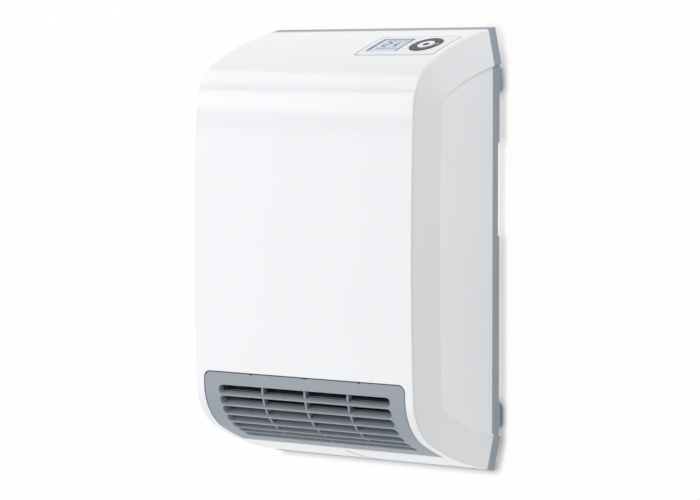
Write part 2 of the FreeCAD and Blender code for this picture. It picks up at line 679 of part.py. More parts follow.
def fan_scroll():
    """Bent sheet: flat floor under the heating block, then an off-centre arc round the drum."""
    x0, x1 = DUCT_X
    floor = box(x0, x1, DUCT_FRONT, SCROLL_AT[0], -DUCT_HALF - SHEET, -DUCT_HALF)
    centre = V(x0, SCROLL_AT[0], SCROLL_AT[1])
    outer = arc_points(centre, SCROLL_R + SHEET, -90, SCROLL_END)
    inner = arc_points(centre, SCROLL_R, SCROLL_END, -90)
    edges = [
        Part.Arc(*outer).toShape(),
        Part.makeLine(outer[2], inner[0]),
        Part.Arc(*inner).toShape(),
        Part.makeLine(inner[2], outer[0]),
    ]
    arc = Part.Face(Part.Wire(edges)).extrude(V(x1 - x0, 0, 0))
    return in_duct(floor.fuse(arc).removeSplitter())


def bent_sheet(points, thick, width):
    """Bent sheet: straight runs joined by round corners, extruded along x."""
    pieces = []
    for a, b in zip(points, points[1:]):
        way = b - a
        side = V(0, -way.z, way.y)
        side = side * (thick / 2 / side.Length)
        corners = [a + side, b + side, b - side, a - side]
        pieces.append(Part.Face(Part.makePolygon(corners + corners[:1])).extrude(V(width, 0, 0)))
    for p in points[1:-1]:
        pieces.append(Part.makeCylinder(thick / 2, width, p, X_AXIS))
    return pieces[0].fuse(pieces[1:]).removeSplitter()


def duct_tongue():
    """Bent sheet: roof over the heating block, ending in the nose that divides intake from outlet."""
    x0, x1 = DUCT_X
    mid = DUCT_HALF + SHEET / 2
    nose_turn = math.radians(150)
    reach = DRUM_R + DRUM_GAP + SHEET / 2
    nose = V(x0, DRUM_AT[0] + reach * math.cos(nose_turn), DRUM_AT[1] + reach * math.sin(nose_turn))
    path = [V(x0, DUCT_FRONT, mid), V(x0, nose.y - 6, mid), nose, V(x0, nose.y + 3, mid + 8)]
    return in_duct(bent_sheet(path, SHEET, x1 - x0))


def drum_point():
    return DUCT_PLACE.multVec(V(0, DRUM_AT[0], DRUM_AT[1]))


def end_plate(side):
    """Sheet end wall of the duct with a flange on the rear wall."""
    x_in = DUCT_X[0] if side < 0 else DUCT_X[1]
    x0, x1 = (x_in - SHEET, x_in) if side < 0 else (x_in, x_in + SHEET)
    flat = box(x0, x1, DUCT_FRONT, SCROLL_AT[0], -DUCT_HALF - PLATE_EDGE, DUCT_HALF + PLATE_EDGE)
    disc = Part.makeCylinder(SCROLL_R + PLATE_EDGE, SHEET, V(x0, SCROLL_AT[0], SCROLL_AT[1]), X_AXIS)
    wall = in_duct(flat.fuse(disc))
    hub = drum_point()
    foot = box(x0, x1, hub.y, WEB_FRONT_Y, hub.z - PLATE_FOOT, hub.z + PLATE_FOOT)
    fold = box(min(x_in, x_in + side * PLATE_FOLD), max(x_in, x_in + side * PLATE_FOLD), WEB_FRONT_Y - SHEET,
               WEB_FRONT_Y, hub.z - PLATE_FOOT, hub.z + PLATE_FOOT)
    if side < 0:
        half = BEARING_SIZE / 2
        hole = box(x0 - 1, x1 + 1, hub.y - half, hub.y + half, hub.z - half, hub.z + half)
    else:
        hole = rod(BOSS_R + 1.5, V(x0 - 1, hub.y, hub.z), V(x1 + 1, hub.y, hub.z))
    return wall.fuse([foot, fold]).cut(hole).removeSplitter()


def blade_profile(x):
    """Outline of one blade: sheet bent in three flats between the drum's inner and outer radius."""
    inner_r = DRUM_R - BLADE_DEPTH
    mid_line = []
    for n in range(4):
        r = inner_r + BLADE_T / 2 + (BLADE_DEPTH - BLADE_T) * n / 3
        lead = math.radians(BLADE_SWEEP) * ((n / 3) ** 2)
        mid_line.append((r, lead))
    lower = [V(x, r * math.cos(t), r * math.sin(t) - BLADE_T / 2) for r, t in mid_line]
    upper = [V(x, r * math.cos(t), r * math.sin(t) + BLADE_T / 2) for r, t in reversed(mid_line)]
    return Part.Face(Part.makePolygon(lower + upper + lower[:1]))


def fan_impeller():
    """Cross-flow drum: curved blades between end discs, a stiffening ring and a stub at each end."""
    x0 = DUCT_X[0] + DRUM_END_GAP
    x1 = DUCT_X[1] - DRUM_END_GAP
    span = x1 - x0
    blade = blade_profile(x0).extrude(V(span, 0, 0))
    blades = []
    for n in range(BLADES):
        copy = blade.copy()
        copy.rotate(V(0, 0, 0), X_AXIS, 360.0 * n / BLADES)
        blades.append(copy)
    discs = [Part.makeCylinder(DRUM_R, DISC_T, V(x, 0, 0), X_AXIS) for x in (x0, x1 - DISC_T)]
    middle = V((x0 + x1 - DISC_T) / 2, 0, 0)
    ring = Part.makeCylinder(DRUM_R, DISC_T, middle, X_AXIS)
    ring = ring.cut(Part.makeCylinder(DRUM_R - BLADE_DEPTH, DISC_T, middle, X_AXIS))
    stub = Part.makeCylinder(SHAFT_R, STUB_LENGTH, V(x0 - STUB_LENGTH, 0, 0), X_AXIS)
    boss = Part.makeCylinder(BOSS_R, BOSS_LENGTH, V(x1, 0, 0), X_AXIS)
    drum = discs[0].fuse([discs[1], ring, stub, boss] + blades)
    drum = drum.cut(Part.makeCylinder(SHAFT_R, BOSS_LENGTH + DISC_T, V(x1 - DISC_T, 0, 0), X_AXIS))
    drum.translate(drum_point())
    return drum.removeSplitter()


def motor_rotor():
    """Rotor pack on its shaft; the shaft's inner end is held in the drum's boss."""
    hub = drum_point()
    shaft_start = DUCT_X[1] - DRUM_END_GAP - DISC_T
    shaft_end = MOTOR_X + 2 * BRIDGE_T + STACK + 8
    shaft = rod(SHAFT_R, V(shaft_start, hub.y, hub.z), V(shaft_end, hub.y, hub.z))
    start = MOTOR_X + BRIDGE_T + ROTOR_END_GAP
    end = MOTOR_X + BRIDGE_T + STACK - ROTOR_END_GAP
    return shaft.fuse(rod(ROTOR_R, V(start, hub.y, hub.z), V(end, hub.y, hub.z))).removeSplitter()


def motor_stator():
    """Laminated core with the rotor bore and a window for the coil at the front limb."""
    start = MOTOR_X + BRIDGE_T
    end = start + STACK
    hub = drum_point()
    half_z = STATOR_SIZE[0] / 2
    edge = hub.y - STATOR_SIZE[1] / 2
    core = box(start, end, edge, hub.y + STATOR_SIZE[1] / 2, hub.z - half_z, hub.z + half_z)
    core = core.cut(rod(ROTOR_R + AIR_GAP, V(start - 1, hub.y, hub.z), V(end + 1, hub.y, hub.z)))
    limb = box(start, end, edge - WINDOW_DEPTH - LIMB, edge, hub.z - LIMB_HALF, hub.z + LIMB_HALF)
    window = box(start - 1, end + 1, edge - WINDOW_DEPTH, edge, hub.z - LIMB_HALF + LIMB, hub.z + LIMB_HALF - LIMB)
    return core.fuse(limb.cut(window)).removeSplitter()


def motor_coil():
    """Winding on its bobbin, round the core's front limb."""
    start = MOTOR_X + BRIDGE_T
    end = start + STACK
    hub = drum_point()
    back = hub.y - STATOR_SIZE[1] / 2 - WINDOW_DEPTH
    front = back - LIMB
    cheek = COIL_T + 1
    half = LIMB_HALF - LIMB - TOUCH_GAP
    wound = box(start - COIL_T, end + COIL_T, front - COIL_T, back + COIL_T, hub.z - half, hub.z + half)
    cheeks = [box(start - cheek, end + cheek, front - cheek, back + cheek, z, z + CHEEK_T)
              for z in (hub.z - half, hub.z + half - CHEEK_T)]
    core_hole = box(start - TOUCH_GAP, end + TOUCH_GAP, front - TOUCH_GAP, back + TOUCH_GAP,
                    hub.z - LIMB_HALF, hub.z + LIMB_HALF)
    return wound.fuse(cheeks).cut(core_hole).removeSplitter()


def motor_bridges():
    """Two cast bearing bridges bored for the shaft; the near one stands on the duct's end plate."""
    hub = drum_point()
    half_y = BRIDGE_SIZE[0] / 2
    half_z = BRIDGE_SIZE[1] / 2
    solids = []
    for x0 in (MOTOR_X, MOTOR_X + BRIDGE_T + STACK):
        bar = box(x0, x0 + BRIDGE_T, hub.y - half_y, hub.y + half_y, hub.z - half_z, hub.z + half_z)
        solids.append(bar.cut(rod(SHAFT_R + RUN_GAP, V(x0 - 1, hub.y, hub.z), V(x0 + BRIDGE_T + 1, hub.y, hub.z))))
    feet = [box(DUCT_X[1] + SHEET, MOTOR_X, hub.y - half_y, hub.y + half_y, z, z + BRIDGE_FOOT)
            for z in (hub.z - half_z, hub.z + half_z - BRIDGE_FOOT)]
    solids[0] = solids[0].fuse(feet).removeSplitter()
    return Part.makeCompound(solids)


def end_bearing():
    """Bearing block in the end plate for the drum's free end."""
    hub = drum_point()
    x0 = DUCT_X[0] - SHEET - (BEARING_LENGTH - SHEET) / 2
    x1 = x0 + BEARING_LENGTH
    half = BEARING_SIZE / 2
    block = box(x0, x1, hub.y - half, hub.y + half, hub.z - half, hub.z + half)
    return block.cut(rod(SHAFT_R + RUN_GAP, V(x0 - 1, hub.y, hub.z), V(x1 + 1, hub.y, hub.z)))


def heater_levels():
    """Lower edges of the fin strips and of the bars between them."""
    total = 3 * FIN_HEIGHT + 2 * BAR_HEIGHT
    fins = [-total / 2 + n * (FIN_HEIGHT + BAR_HEIGHT) for n in range(3)]
    bars = [level + FIN_HEIGHT for level in fins[:2]]
    return fins, bars


HEATER_X = (DUCT_X[0] + CAP_LENGTH, DUCT_X[1] - CAP_LENGTH)


def heater_fins():
    """Corrugated aluminium strips bonded above and below the ceramic bars."""
    fins, bars = heater_levels()
    count = int((HEATER_X[1] - HEATER_X[0] - 2) / FIN_PITCH * 2)
    solids = []
    for level in fins:
        path = [V(HEATER_X[0] + 1 + n * FIN_PITCH / 2, HEATER_A, level + (n % 2) * (FIN_HEIGHT - FIN_RISE))
                for n in range(count)]
        outline = path + [p + V(0, 0, FIN_RISE) for p in reversed(path)]
        face = Part.Face(Part.makePolygon(outline + outline[:1]))
        solids.append(in_duct(face.extrude(V(0, HEATER_DEPTH, 0))))
    return Part.makeCompound(solids)


def heater_bars():
    """Flat aluminium tubes that hold the ceramic stones."""
    fins, bars = heater_levels()
    solids = [in_duct(box(HEATER_X[0], HEATER_X[1], HEATER_A, HEATER_A + HEATER_DEPTH, z, z + BAR_HEIGHT))
              for z in bars]
    return Part.makeCompound(solids)


def heater_caps():
    """Moulded end caps that carry the block in the duct."""
    front = HEATER_A - CAP_EDGE
    back = HEATER_A + HEATER_DEPTH + CAP_EDGE
    solids = [in_duct(box(x0, x1, front, back, -DUCT_HALF, DUCT_HALF))
              for x0, x1 in ((DUCT_X[0], HEATER_X[0]), (HEATER_X[1], DUCT_X[1]))]
    return Part.makeCompound(solids)


def thermal_cutout():
    """Thermal switch on the duct's roof, with two push-on tabs."""
    at = (CUTOUT_X, HEATER_A + HEATER_DEPTH / 2)
    low = DUCT_HALF + SHEET
    top = low + CUTOUT[2]
    tabs = [plate_at(TAB[:2], top, top + TAB[2], (at[0] + dx, at[1])) for dx in (-CUTOUT[0] / 4, CUTOUT[0] / 4)]
    return in_duct(plate_at(CUTOUT[:2], low, top, at).fuse(tabs).removeSplitter())


def power_board():
    y = WEB_FRONT_Y - POST_HEIGHT
    return box(POWER_AT[0] - POWER_BOARD[0] / 2, POWER_AT[0] + POWER_BOARD[0] / 2, y - BOARD_T, y,
               POWER_AT[1] - POWER_BOARD[1] / 2, POWER_AT[1] + POWER_BOARD[1] / 2)


def on_board(dx, dz, size):
    """Block standing on the power board's front."""
    x = POWER_AT[0] + dx
    y = WEB_FRONT_Y - POST_HEIGHT - BOARD_T
    z = POWER_AT[1] + dz
    return box(x - size[0] / 2, x + size[0] / 2, y - size[1], y, z - size[2] / 2, z + size[2] / 2)


def relays():
    return Part.makeCompound([on_board(dx, -POWER_BOARD[1] / 4, RELAY) for dx in (-RELAY_PITCH, 0, RELAY_PITCH)])


def mains_capacitor():
    return on_board(-POWER_BOARD[0] / 5, POWER_BOARD[1] / 5, CAPACITOR)


def terminal_block():
    """Three-pole block on the rear wall with screw wells and wire mouths."""
    x0 = INLET_AT[0] - TERMINAL[0] / 2
    z0 = INLET_AT[1] + TERMINAL_RISE - TERMINAL[2] / 2
    front = WEB_FRONT_Y - TERMINAL[1]
    block = box(x0, x0 + TERMINAL[0], front, WEB_FRONT_Y, z0, z0 + TERMINAL[2])
    for n in range(3):
        x = x0 + TERMINAL[0] * (2 * n + 1) / 6 - WELL / 2
        z = z0 + (TERMINAL[2] - WELL) / 2
        block = block.cut(box(x, x + WELL, front - 1, front + TERMINAL[1] / 3, z, z + WELL))
        mouth = WEB_FRONT_Y - TERMINAL[1] / 2
        block = block.cut(box(x, x + WELL, mouth, mouth + WELL, z0 - 1, z0 + TERMINAL[2] / 2))
    return block


def cord_clamp():
    """Bridge over the supply cable's path, on the rear wall."""
    x = INLET_AT[0]
    z = INLET_AT[1] + CLAMP_RISE
    front = WEB_FRONT_Y - CLAMP[1]
    bridge = box(x - CLAMP[0] / 2, x + CLAMP[0] / 2, front, WEB_FRONT_Y, z - CLAMP[2] / 2, z + CLAMP[2] / 2)
    way = CORD_R + 1
    return bridge.cut(box(x - way, x + way, WEB_FRONT_Y - 2 * way, WEB_FRONT_Y + 1, z - CLAMP[2], z + CLAMP[2]))


def cable_grommet():
    """Soft bush in the rear wall's cable hole, with a flange inside."""
    x, z = INLET_AT
    half = GROMMET_FLANGE / 2
    flange = box(x - half, x + half, WEB_FRONT_Y - GROMMET_EDGE, WEB_FRONT_Y, z - half, z + half)
    half = INLET_SIZE / 2 - TOUCH_GAP
    neck = box(x - half, x + half, WEB_FRONT_Y - GROMMET_EDGE, WEB_BACK_Y + GROMMET_EDGE, z - half, z + half)
    bush = flange.fuse(neck).removeSplitter()
    return bush.cut(rod(CORD_R, V(x, WEB_FRONT_Y - 5, z), V(x, WEB_BACK_Y + 5, z)))


def air_sensor():
    """Sensor stick beside the intake."""
    x, z = SENSOR_AT
    half = SENSOR_WIDTH / 2
    return box(x - half, x + half, WEB_FRONT_Y - SENSOR_REACH, WEB_FRONT_Y, z - half, z + half)


for maker in (
    front_cover,
    outlet_grille,
    finger_guard,
    rear_housing,
    wall_bracket,
    control_panel,
    display_window,
    lcd_module,
    display_board,
    key_switches,
    control_ring,
    centre_key,
    fan_scroll,
    duct_tongue,
    fan_impeller,
    motor_rotor,
    motor_stator,
    motor_coil,
    motor_bridges,
    end_bearing,
    heater_fins,
    heater_bars,
    heater_caps,
    thermal_cutout,
    power_board,
    relays,
    mains_capacitor,
    terminal_block,
    cord_clamp,
    cable_grommet,
    air_sensor,
):
    save(maker(), maker.__name__)
save(end_plate(-1), "end_plate_left")
save(end_plate(1), "end_plate_right")
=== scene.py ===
import math

import bmesh
import bpy
import numpy as np
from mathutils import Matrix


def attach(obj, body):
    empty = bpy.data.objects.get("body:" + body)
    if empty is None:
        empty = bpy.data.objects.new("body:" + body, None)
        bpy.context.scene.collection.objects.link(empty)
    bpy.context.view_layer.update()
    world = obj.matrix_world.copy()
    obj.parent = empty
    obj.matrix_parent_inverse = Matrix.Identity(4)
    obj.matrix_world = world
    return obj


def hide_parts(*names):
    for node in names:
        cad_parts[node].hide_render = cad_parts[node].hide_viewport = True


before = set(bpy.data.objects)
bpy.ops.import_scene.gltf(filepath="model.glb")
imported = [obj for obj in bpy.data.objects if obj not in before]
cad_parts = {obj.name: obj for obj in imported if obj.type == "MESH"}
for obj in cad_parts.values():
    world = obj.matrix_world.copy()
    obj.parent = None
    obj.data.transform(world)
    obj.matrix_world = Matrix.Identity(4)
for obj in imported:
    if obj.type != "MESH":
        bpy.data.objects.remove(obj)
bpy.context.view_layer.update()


# Wall bracket and air duct: a frame pressed from zinc-plated steel sheet and screwed to the wall. Its four
# tongues are bent out of the same sheet and the rear housing hangs on them. The duct round the drum is folded
# from sheet of the same kind.
class Wire:
    """One socket of a tree of nodes; adding, taking away or multiplying it lays a Math node."""

    def __init__(self, finish, socket):
        self.finish = finish
        self.socket = socket

    def _math(self, operation, first, second):
        """Result of one Math node on two numbers or wires."""
        return self.finish.node("ShaderNodeMath", {"operation": operation}, {0: first, 1: second})

    def __add__(self, other):
        return self._math("ADD", self, other)

    __radd__ = __add__

    def __sub__(self, other):
        return self._math("SUBTRACT", self, other)

    def __rsub__(self, other):
        return self._math("SUBTRACT", other, self)

    def __mul__(self, other):
        return self._math("MULTIPLY", self, other)

    __rmul__ = __mul__


class Finish:
    """A material under way: a Principled surface whose constants are set at once."""

    def __init__(self, name, **constants):
        self.material = bpy.data.materials.new(name)
        self.material.use_nodes = True
        self.tree = self.material.node_tree
        self.shader = self.tree.nodes["Principled BSDF"]
        for key, value in constants.items():
            self.shader.inputs[key.replace("_", " ")].default_value = value
        self.place = self.node("ShaderNodeTexCoord", {}, {}, out="Object")

    def node(self, kind, settings, sockets, out=0):
        """Adds a node, sets its settings, then its sockets from numbers or wires; gives one output."""
        made = self.tree.nodes.new(kind)
        for key, value in settings.items():
            setattr(made, key, value)
        for key, value in sockets.items():
            if isinstance(value, Wire):
                self.tree.links.new(value.socket, made.inputs[key])
            else:
                made.inputs[key].default_value = value
        return Wire(self, made.outputs[out])

    def noise(self, scale, detail=2.0, stretch=None):
        """Noise in the piece's own coordinates, scale in cells per metre, stretched where asked."""
        place = self.place
        if stretch:
            place = self.node("ShaderNodeMapping", {}, {"Vector": place, "Scale": stretch})
        return self.node("ShaderNodeTexNoise", {}, {"Vector": place, "Scale": scale, "Detail": detail})

    def mix(self, amount, first, second):
        """Colour between two colours."""
        return self.node("ShaderNodeMix", {"data_type": "RGBA"}, {0: amount, 6: first, 7: second}, out=2)

    def bump(self, height, strength, distance):
        """Normal of a surface raised by height, distance in metres."""
        return self.node("ShaderNodeBump", {}, {"Height": height, "Strength": strength, "Distance": distance})

    def feed(self, **wires):
        """Links wires into the surface's sockets."""
        for key, wire in wires.items():
            self.tree.links.new(wire.socket, self.shader.inputs[key.replace("_", " ")])
        return self.material


def tint(colour, factor):
    """Colour made lighter or darker by a factor, with full alpha."""
    return tuple(min(c * factor, 1.0) for c in colour[:3]) + (1.0,)


def sheet_metal(name, colour, rough, stretch):
    """Rolled metal: fine streaks along one way in roughness and bump, cloudy tone."""
    finish = Finish(name, Metallic=1.0)
    streak = finish.noise(900.0, 3.0, stretch)
    cloud = finish.noise(35.0, 3.0)
    tone = finish.mix(cloud, tint(colour, 0.86), tint(colour, 1.08))
    return finish.feed(Base_Color=tone, Roughness=rough - 0.1 + 0.2 * streak,
                       Normal=finish.bump(streak, 0.15, 0.0002))


def coat(material, *nodes):
    """Gives carried-over nodes a material."""
    for name in nodes:
        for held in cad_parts[name].material_slots:
            held.material = material


def soften(width, *nodes):
    """Rounds the long edges of carried-over nodes: joined triangles, flat areas made whole, then a bevel."""
    for name in nodes:
        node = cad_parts[name]
        weld = node.modifiers.new("join", "WELD")
        weld.merge_threshold = 0.00001
        whole = node.modifiers.new("whole", "DECIMATE")
        whole.decimate_type = "DISSOLVE"
        whole.angle_limit = math.radians(0.6)
        edge = node.modifiers.new("edge", "BEVEL")
        edge.width = width
        edge.segments = 2
        edge.limit_method = "ANGLE"
        edge.angle_limit = math.radians(35)
        edge.use_clamp_overlap = True


zinc = sheet_metal("zinc_sheet", (0.60, 0.61, 0.63), 0.38, (1.0, 0.05, 1.0))
coat(zinc, "wall_bracket", "fan_scroll", "duct_tongue", "end_plate_left", "end_plate_right")


# Rear housing: one tray moulded in blue-grey plastic with a fine matt grain. It carries everything inside,
# and its rim shows behind the cover along the wall.
def moulded(name, colour, rough, grain, bump, gloss=0.0, shine=0.5):
    """Moulded plastic: nearly even tone with slow drift, and a fine grain in roughness and bump."""
    finish = Finish(name, IOR=1.49, Coat_Weight=gloss, Coat_Roughness=0.06, Specular_IOR_Level=shine)
    drift = finish.noise(9.0, 2.0)
    speck = finish.noise(grain, 2.0)
    tone = finish.mix(drift, tint(colour, 0.985), tint(colour, 1.012))
    return finish.feed(Base_Color=tone, Roughness=rough - 0.05 + 0.1 * speck,
                       Normal=finish.bump(speck, bump, 0.0001))


rim_grey = moulded("rim_grey", (0.315, 0.366, 0.416), 0.55, 2600.0, 0.12)
coat(rim_grey, "rear_housing")
soften(0.0005, "rear_housing")


# Inside the housing: heating block of folded aluminium fins between flat tubes with moulded end caps,
# a drum of bent blades and its shaded-pole motor, all hung in the sheet duct. The circuit boards, relays and
# terminal block are screwed to the rear wall.
bright = sheet_metal("rolled_aluminium", (0.74, 0.75, 0.76), 0.34, (0.05, 1.0, 1.0))
coat(bright, "fan_impeller", "motor_bridges")
# Heating fins and bars coloured near black: painted shade for the dark duct seen through the slots.
fins_shade_dark = sheet_metal("aluminium_painted_shade", (0.06, 0.06, 0.064), 0.5, (0.05, 1.0, 1.0))
coat(fins_shade_dark, "heater_fins", "heater_bars")
core = sheet_metal("core_steel", (0.24, 0.24, 0.25), 0.45, (6.0, 0.1, 0.1))
coat(core, "motor_stator", "motor_rotor")
winding = Finish("enamelled_wire", Metallic=0.7)
turns = winding.node("ShaderNodeTexWave", {"bands_direction": "Z"}, {"Vector": winding.place, "Scale": 900.0})
coat(winding.feed(Base_Color=winding.mix(turns, (0.16, 0.06, 0.025, 1.0), (0.42, 0.17, 0.07, 1.0)),
                  Roughness=0.45 - 0.15 * turns, Normal=winding.bump(turns, 0.5, 0.0004)), "motor_coil")
black = moulded("black_moulding", (0.035, 0.036, 0.040), 0.45, 1800.0, 0.1)
coat(black, "heater_caps", "thermal_cutout", "relays", "mains_capacitor", "key_switches", "end_bearing",
     "air_sensor")
rubber = moulded("soft_rubber", (0.030, 0.030, 0.032), 0.75, 900.0, 0.2)
coat(rubber, "cable_grommet")
board = Finish("circuit_board", IOR=1.5)
tracks = board.node("ShaderNodeTexBrick", {"offset": 0.37}, {
    "Vector": board.node("ShaderNodeMapping", {}, {"Vector": board.place, "Rotation": (math.pi / 2, 0.0, 0.0)}),
    "Scale": 130.0, "Mortar Size": 0.06, "Color1": (0.0, 0.0, 0.0, 1.0), "Color2": (0.0, 0.0, 0.0, 1.0),
    "Mortar": (1.0, 1.0, 1.0, 1.0)}, out="Fac")
coat(board.feed(Base_Color=board.mix(tracks, (0.020, 0.110, 0.050, 1.0), (0.055, 0.200, 0.090, 1.0)),
                Roughness=0.32 + 0.1 * board.noise(400.0), Normal=board.bump(tracks, 0.2, 0.0001)),
     "power_board", "display_board")
ivory = moulded("ivory_moulding", (0.72, 0.71, 0.67), 0.5, 1500.0, 0.1)
coat(ivory, "terminal_block", "cord_clamp")


# Front cover: one white moulding with a satin gloss, bowed in front and arched to the wall above and below.
# Its sides are bevelled to a recessed flat panel, and it snaps over the rear housing.
ARCH_R, ARCH_Y, ARCH_Z = 350.0, 49.451, -111.426
BOW_R, BOW_Y = 3200.0, 3053.0
SHOULDER_R = 58.0
SEAM_Y = -16.0
HALF_WIDTH = 149.0


def shoulder(d, radius):
    """Round corner of that radius between the arch and the bow, both moved in by d: it touches both arcs from
    inside. Gives its centre, the turns where it meets arch and bow, and its radius."""
    to_bow, to_arch = BOW_R - d - radius, ARCH_R - d - radius
    dy = ARCH_Y - BOW_Y
    span = math.hypot(dy, ARCH_Z)
    along = (to_bow ** 2 - to_arch ** 2 + span ** 2) / (2 * span)
    aside = math.sqrt(to_bow ** 2 - along ** 2)
    y = BOW_Y + (along * dy + aside * ARCH_Z) / span
    z = (along * ARCH_Z - aside * dy) / span
    return y, z, math.atan2(z - ARCH_Z, ARCH_Y - y), math.atan2(z, BOW_Y - y), radius


outer_corner = shoulder(0.0, SHOULDER_R)
ARCH_TURN, BOW_TURN = outer_corner[2:4]
ARCH_RUN = ARCH_R * (math.acos((ARCH_Y - SEAM_Y) / ARCH_R) - ARCH_TURN)
SHOULDER_RUN = SHOULDER_R * (ARCH_TURN - BOW_TURN)
BOW_RUN = BOW_R * BOW_TURN
HALF_RUN = ARCH_RUN + SHOULDER_RUN + BOW_RUN
SKIN_RUN = 2 * HALF_RUN
OUTLET_DROP, OUTLET_RUN, OUTLET_HALF = 134.0, 115.5, 138.0
OUTLET_TOP = HALF_RUN + BOW_R * math.asin(OUTLET_DROP / BOW_R)


def side_line(s, d, corner=None):
    """Side outline of the cover, s mm along it from the upper seam and d mm inside it: an arch, a shoulder
    and a shallow bow, arcs that run into each other, then the same mirrored. Another corner may take the
    shoulder's place. Gives y, z and the turn from straight ahead."""
    s, d = np.broadcast_arrays(np.asarray(s, float), np.asarray(d, float))
    cy, cz, arch_turn, bow_turn, r = corner or outer_corner[:4] + (SHOULDER_R - d,)
    lower = s > HALF_RUN
    h = np.where(lower, SKIN_RUN - s, s)
    rear = np.arccos((ARCH_Y - SEAM_Y) / (ARCH_R - d))
    where = [h < ARCH_RUN, h < ARCH_RUN + SHOULDER_RUN]
    turn = np.select(where, [rear + (arch_turn - rear) * h / ARCH_RUN,
                             arch_turn + (bow_turn - arch_turn) * (h - ARCH_RUN) / SHOULDER_RUN],
                     bow_turn * (HALF_RUN - h) / BOW_RUN)
    r = np.select(where, [ARCH_R - d, r + 0 * d], BOW_R - d)
    y = np.select(where, [ARCH_Y, cy], BOW_Y) - r * np.cos(turn)
    z = np.select(where, [ARCH_Z, cz], 0.0) + r * np.sin(turn)
    return y, np.where(lower, -z, z), np.where(lower, -turn, turn)


def on_skin(x, s, d):
    """Point of the cover x mm across, s mm along the outline and d mm inside it."""
    y, z = side_line(s, d)[:2]
    return np.stack(np.broadcast_arrays(x, y, z), -1)


def rounded_path(points, radii, steps):
    """Line through points whose inner corners are arcs of the given radii, each drawn in a number of steps:
    the arc's middle lies on the line that halves the corner."""
    points = np.asarray(points, float)
    runs = [points[:1]]
    for before, corner, after, radius in zip(points, points[1:], points[2:], radii):
        a = (before - corner) / np.linalg.norm(before - corner)
        b = (after - corner) / np.linalg.norm(after - corner)
        half = math.acos(np.clip(a @ b, -1, 1)) / 2
        middle = corner + (a + b) / np.linalg.norm(a + b) * radius / math.sin(half)
        start = corner + a * radius / math.tan(half) - middle
        end = corner + b * radius / math.tan(half) - middle
        sweep = math.pi - 2 * half
        part = np.linspace(0, 1, steps + 1)[:, None]
        arc = np.sin((1 - part) * sweep) * start + np.sin(part * sweep) * end
        runs.append(middle + arc / math.sin(sweep))
    return np.concatenate(runs + [points[-1:]])


def patch(grid, out):
    """Quads of a grid of points, turned so that its first row of faces looks along out."""
    rows, columns = grid.shape[:2]
    index = np.arange(rows * columns).reshape(rows, columns)
    quads = np.stack([index[:-1, :-1], index[1:, :-1], index[1:, 1:], index[:-1, 1:]], -1).reshape(-1, 4)
    way = np.cross(grid[1:, 1:] - grid[:-1, :-1], grid[:-1, 1:] - grid[1:, :-1])
    if (way[0] @ np.asarray(out, float)).sum() < 0:
        quads = quads[:, ::-1]
    return grid.reshape(-1, 3), quads


def piece(name, patches, material, body, slot, *stands_for, wall=0.0):
    """One object from patches in mm: points merged, smooth with flat areas kept flat, a wall where asked."""
    starts = np.cumsum([0] + [len(points) for points, quads in patches])
    points = np.concatenate([points for points, quads in patches]) * 0.001
    quads = np.concatenate([quads + start for (_, quads), start in zip(patches, starts)])
    mesh = bpy.data.meshes.new(name)
    mesh.from_pydata(points.tolist(), [], quads.tolist())
    work = bmesh.new()
    work.from_mesh(mesh)
    bmesh.ops.remove_doubles(work, verts=work.verts, dist=0.000004)
    bmesh.ops.dissolve_degenerate(work, edges=work.edges, dist=0.000002)
    work.to_mesh(mesh)
    work.free()
    mesh.polygons.foreach_set("use_smooth", np.ones(len(mesh.polygons), bool))
    mesh.materials.append(material)
    made = bpy.data.objects.new(name, mesh)
    bpy.context.scene.collection.objects.link(made)
    if wall:
        solid = made.modifiers.new("wall", "SOLIDIFY")
        solid.thickness = wall
        solid.offset = -1.0
    even = made.modifiers.new("even", "WEIGHTED_NORMAL")
    even.keep_sharp = True
    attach(made, body)
    if stands_for:
        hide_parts(*stands_for)


def edge_of(x, s):
    """Closed run of the points round a rectangle of lines."""
    px = np.concatenate([x[:-1], np.full(len(s) - 1, x[-1]), x[:0:-1], np.full(len(s) - 1, x[0]), x[:1]])
    ps = np.concatenate([np.full(len(x) - 1, s[0]), s[:-1], np.full(len(x) - 1, s[-1]), s[:0:-1], s[:1]])
    return px, ps


def opening_line(px, ps, hole, grow):
    """Nearest points to px, ps on an opening with round corners, made larger by grow.
    hole is its middle x, half width, first and last s, and the corner radius at either end."""
    cx, half, s0, s1, r0, r1 = hole
    r = np.where(ps < (s0 + s1) / 2, r0, r1)
    qx = cx + np.clip(px - cx, -(half - r), half - r)
    qs = np.clip(ps, s0 + r0, s1 - r1)
    way = np.hypot(px - qx, ps - qs)
    return qx + (px - qx) / way * (r + grow), qs + (ps - qs) / way * (r + grow)


def round_opening(x, s, hole, edge, depth, draw=None, sink=0.0, nose=1.0):
    """Skin between a rectangle of lines and an opening: a few steps to its edge, a quarter round of
    radius edge, drawn out nose times as deep, and a wall of that depth, straight in or along a draw
    direction. Gives the grid of points."""
    px, ps = edge_of(x, s)
    rows = []
    ex, es = opening_line(px, ps, hole, edge)
    for share in (0.0, 0.5, 0.9, 1.0):
        rows.append(on_skin(px + (ex - px) * share, ps + (es - ps) * share, sink))
    for angle in np.radians([22.5, 45.0, 67.5, 90.0]):
        ox, os = opening_line(px, ps, hole, edge * (1 - math.sin(angle)))
        fall = edge * nose * (1 - math.cos(angle))
        if draw is None:
            rows.append(on_skin(ox, os, sink + fall))
        else:
            rows.append(on_skin(ox, os, sink) + draw * fall)
    ox, os = opening_line(px, ps, hole, 0.0)
    if draw is None:
        rows.append(on_skin(ox, os, sink + depth))
    else:
        turn = side_line(os, 0.0)[2]
        reach = depth / np.cos(-turn - math.atan2(draw[2], draw[1]))
        rows.append(on_skin(ox, os, sink) + draw * reach[:, None])
    return np.stack(rows)


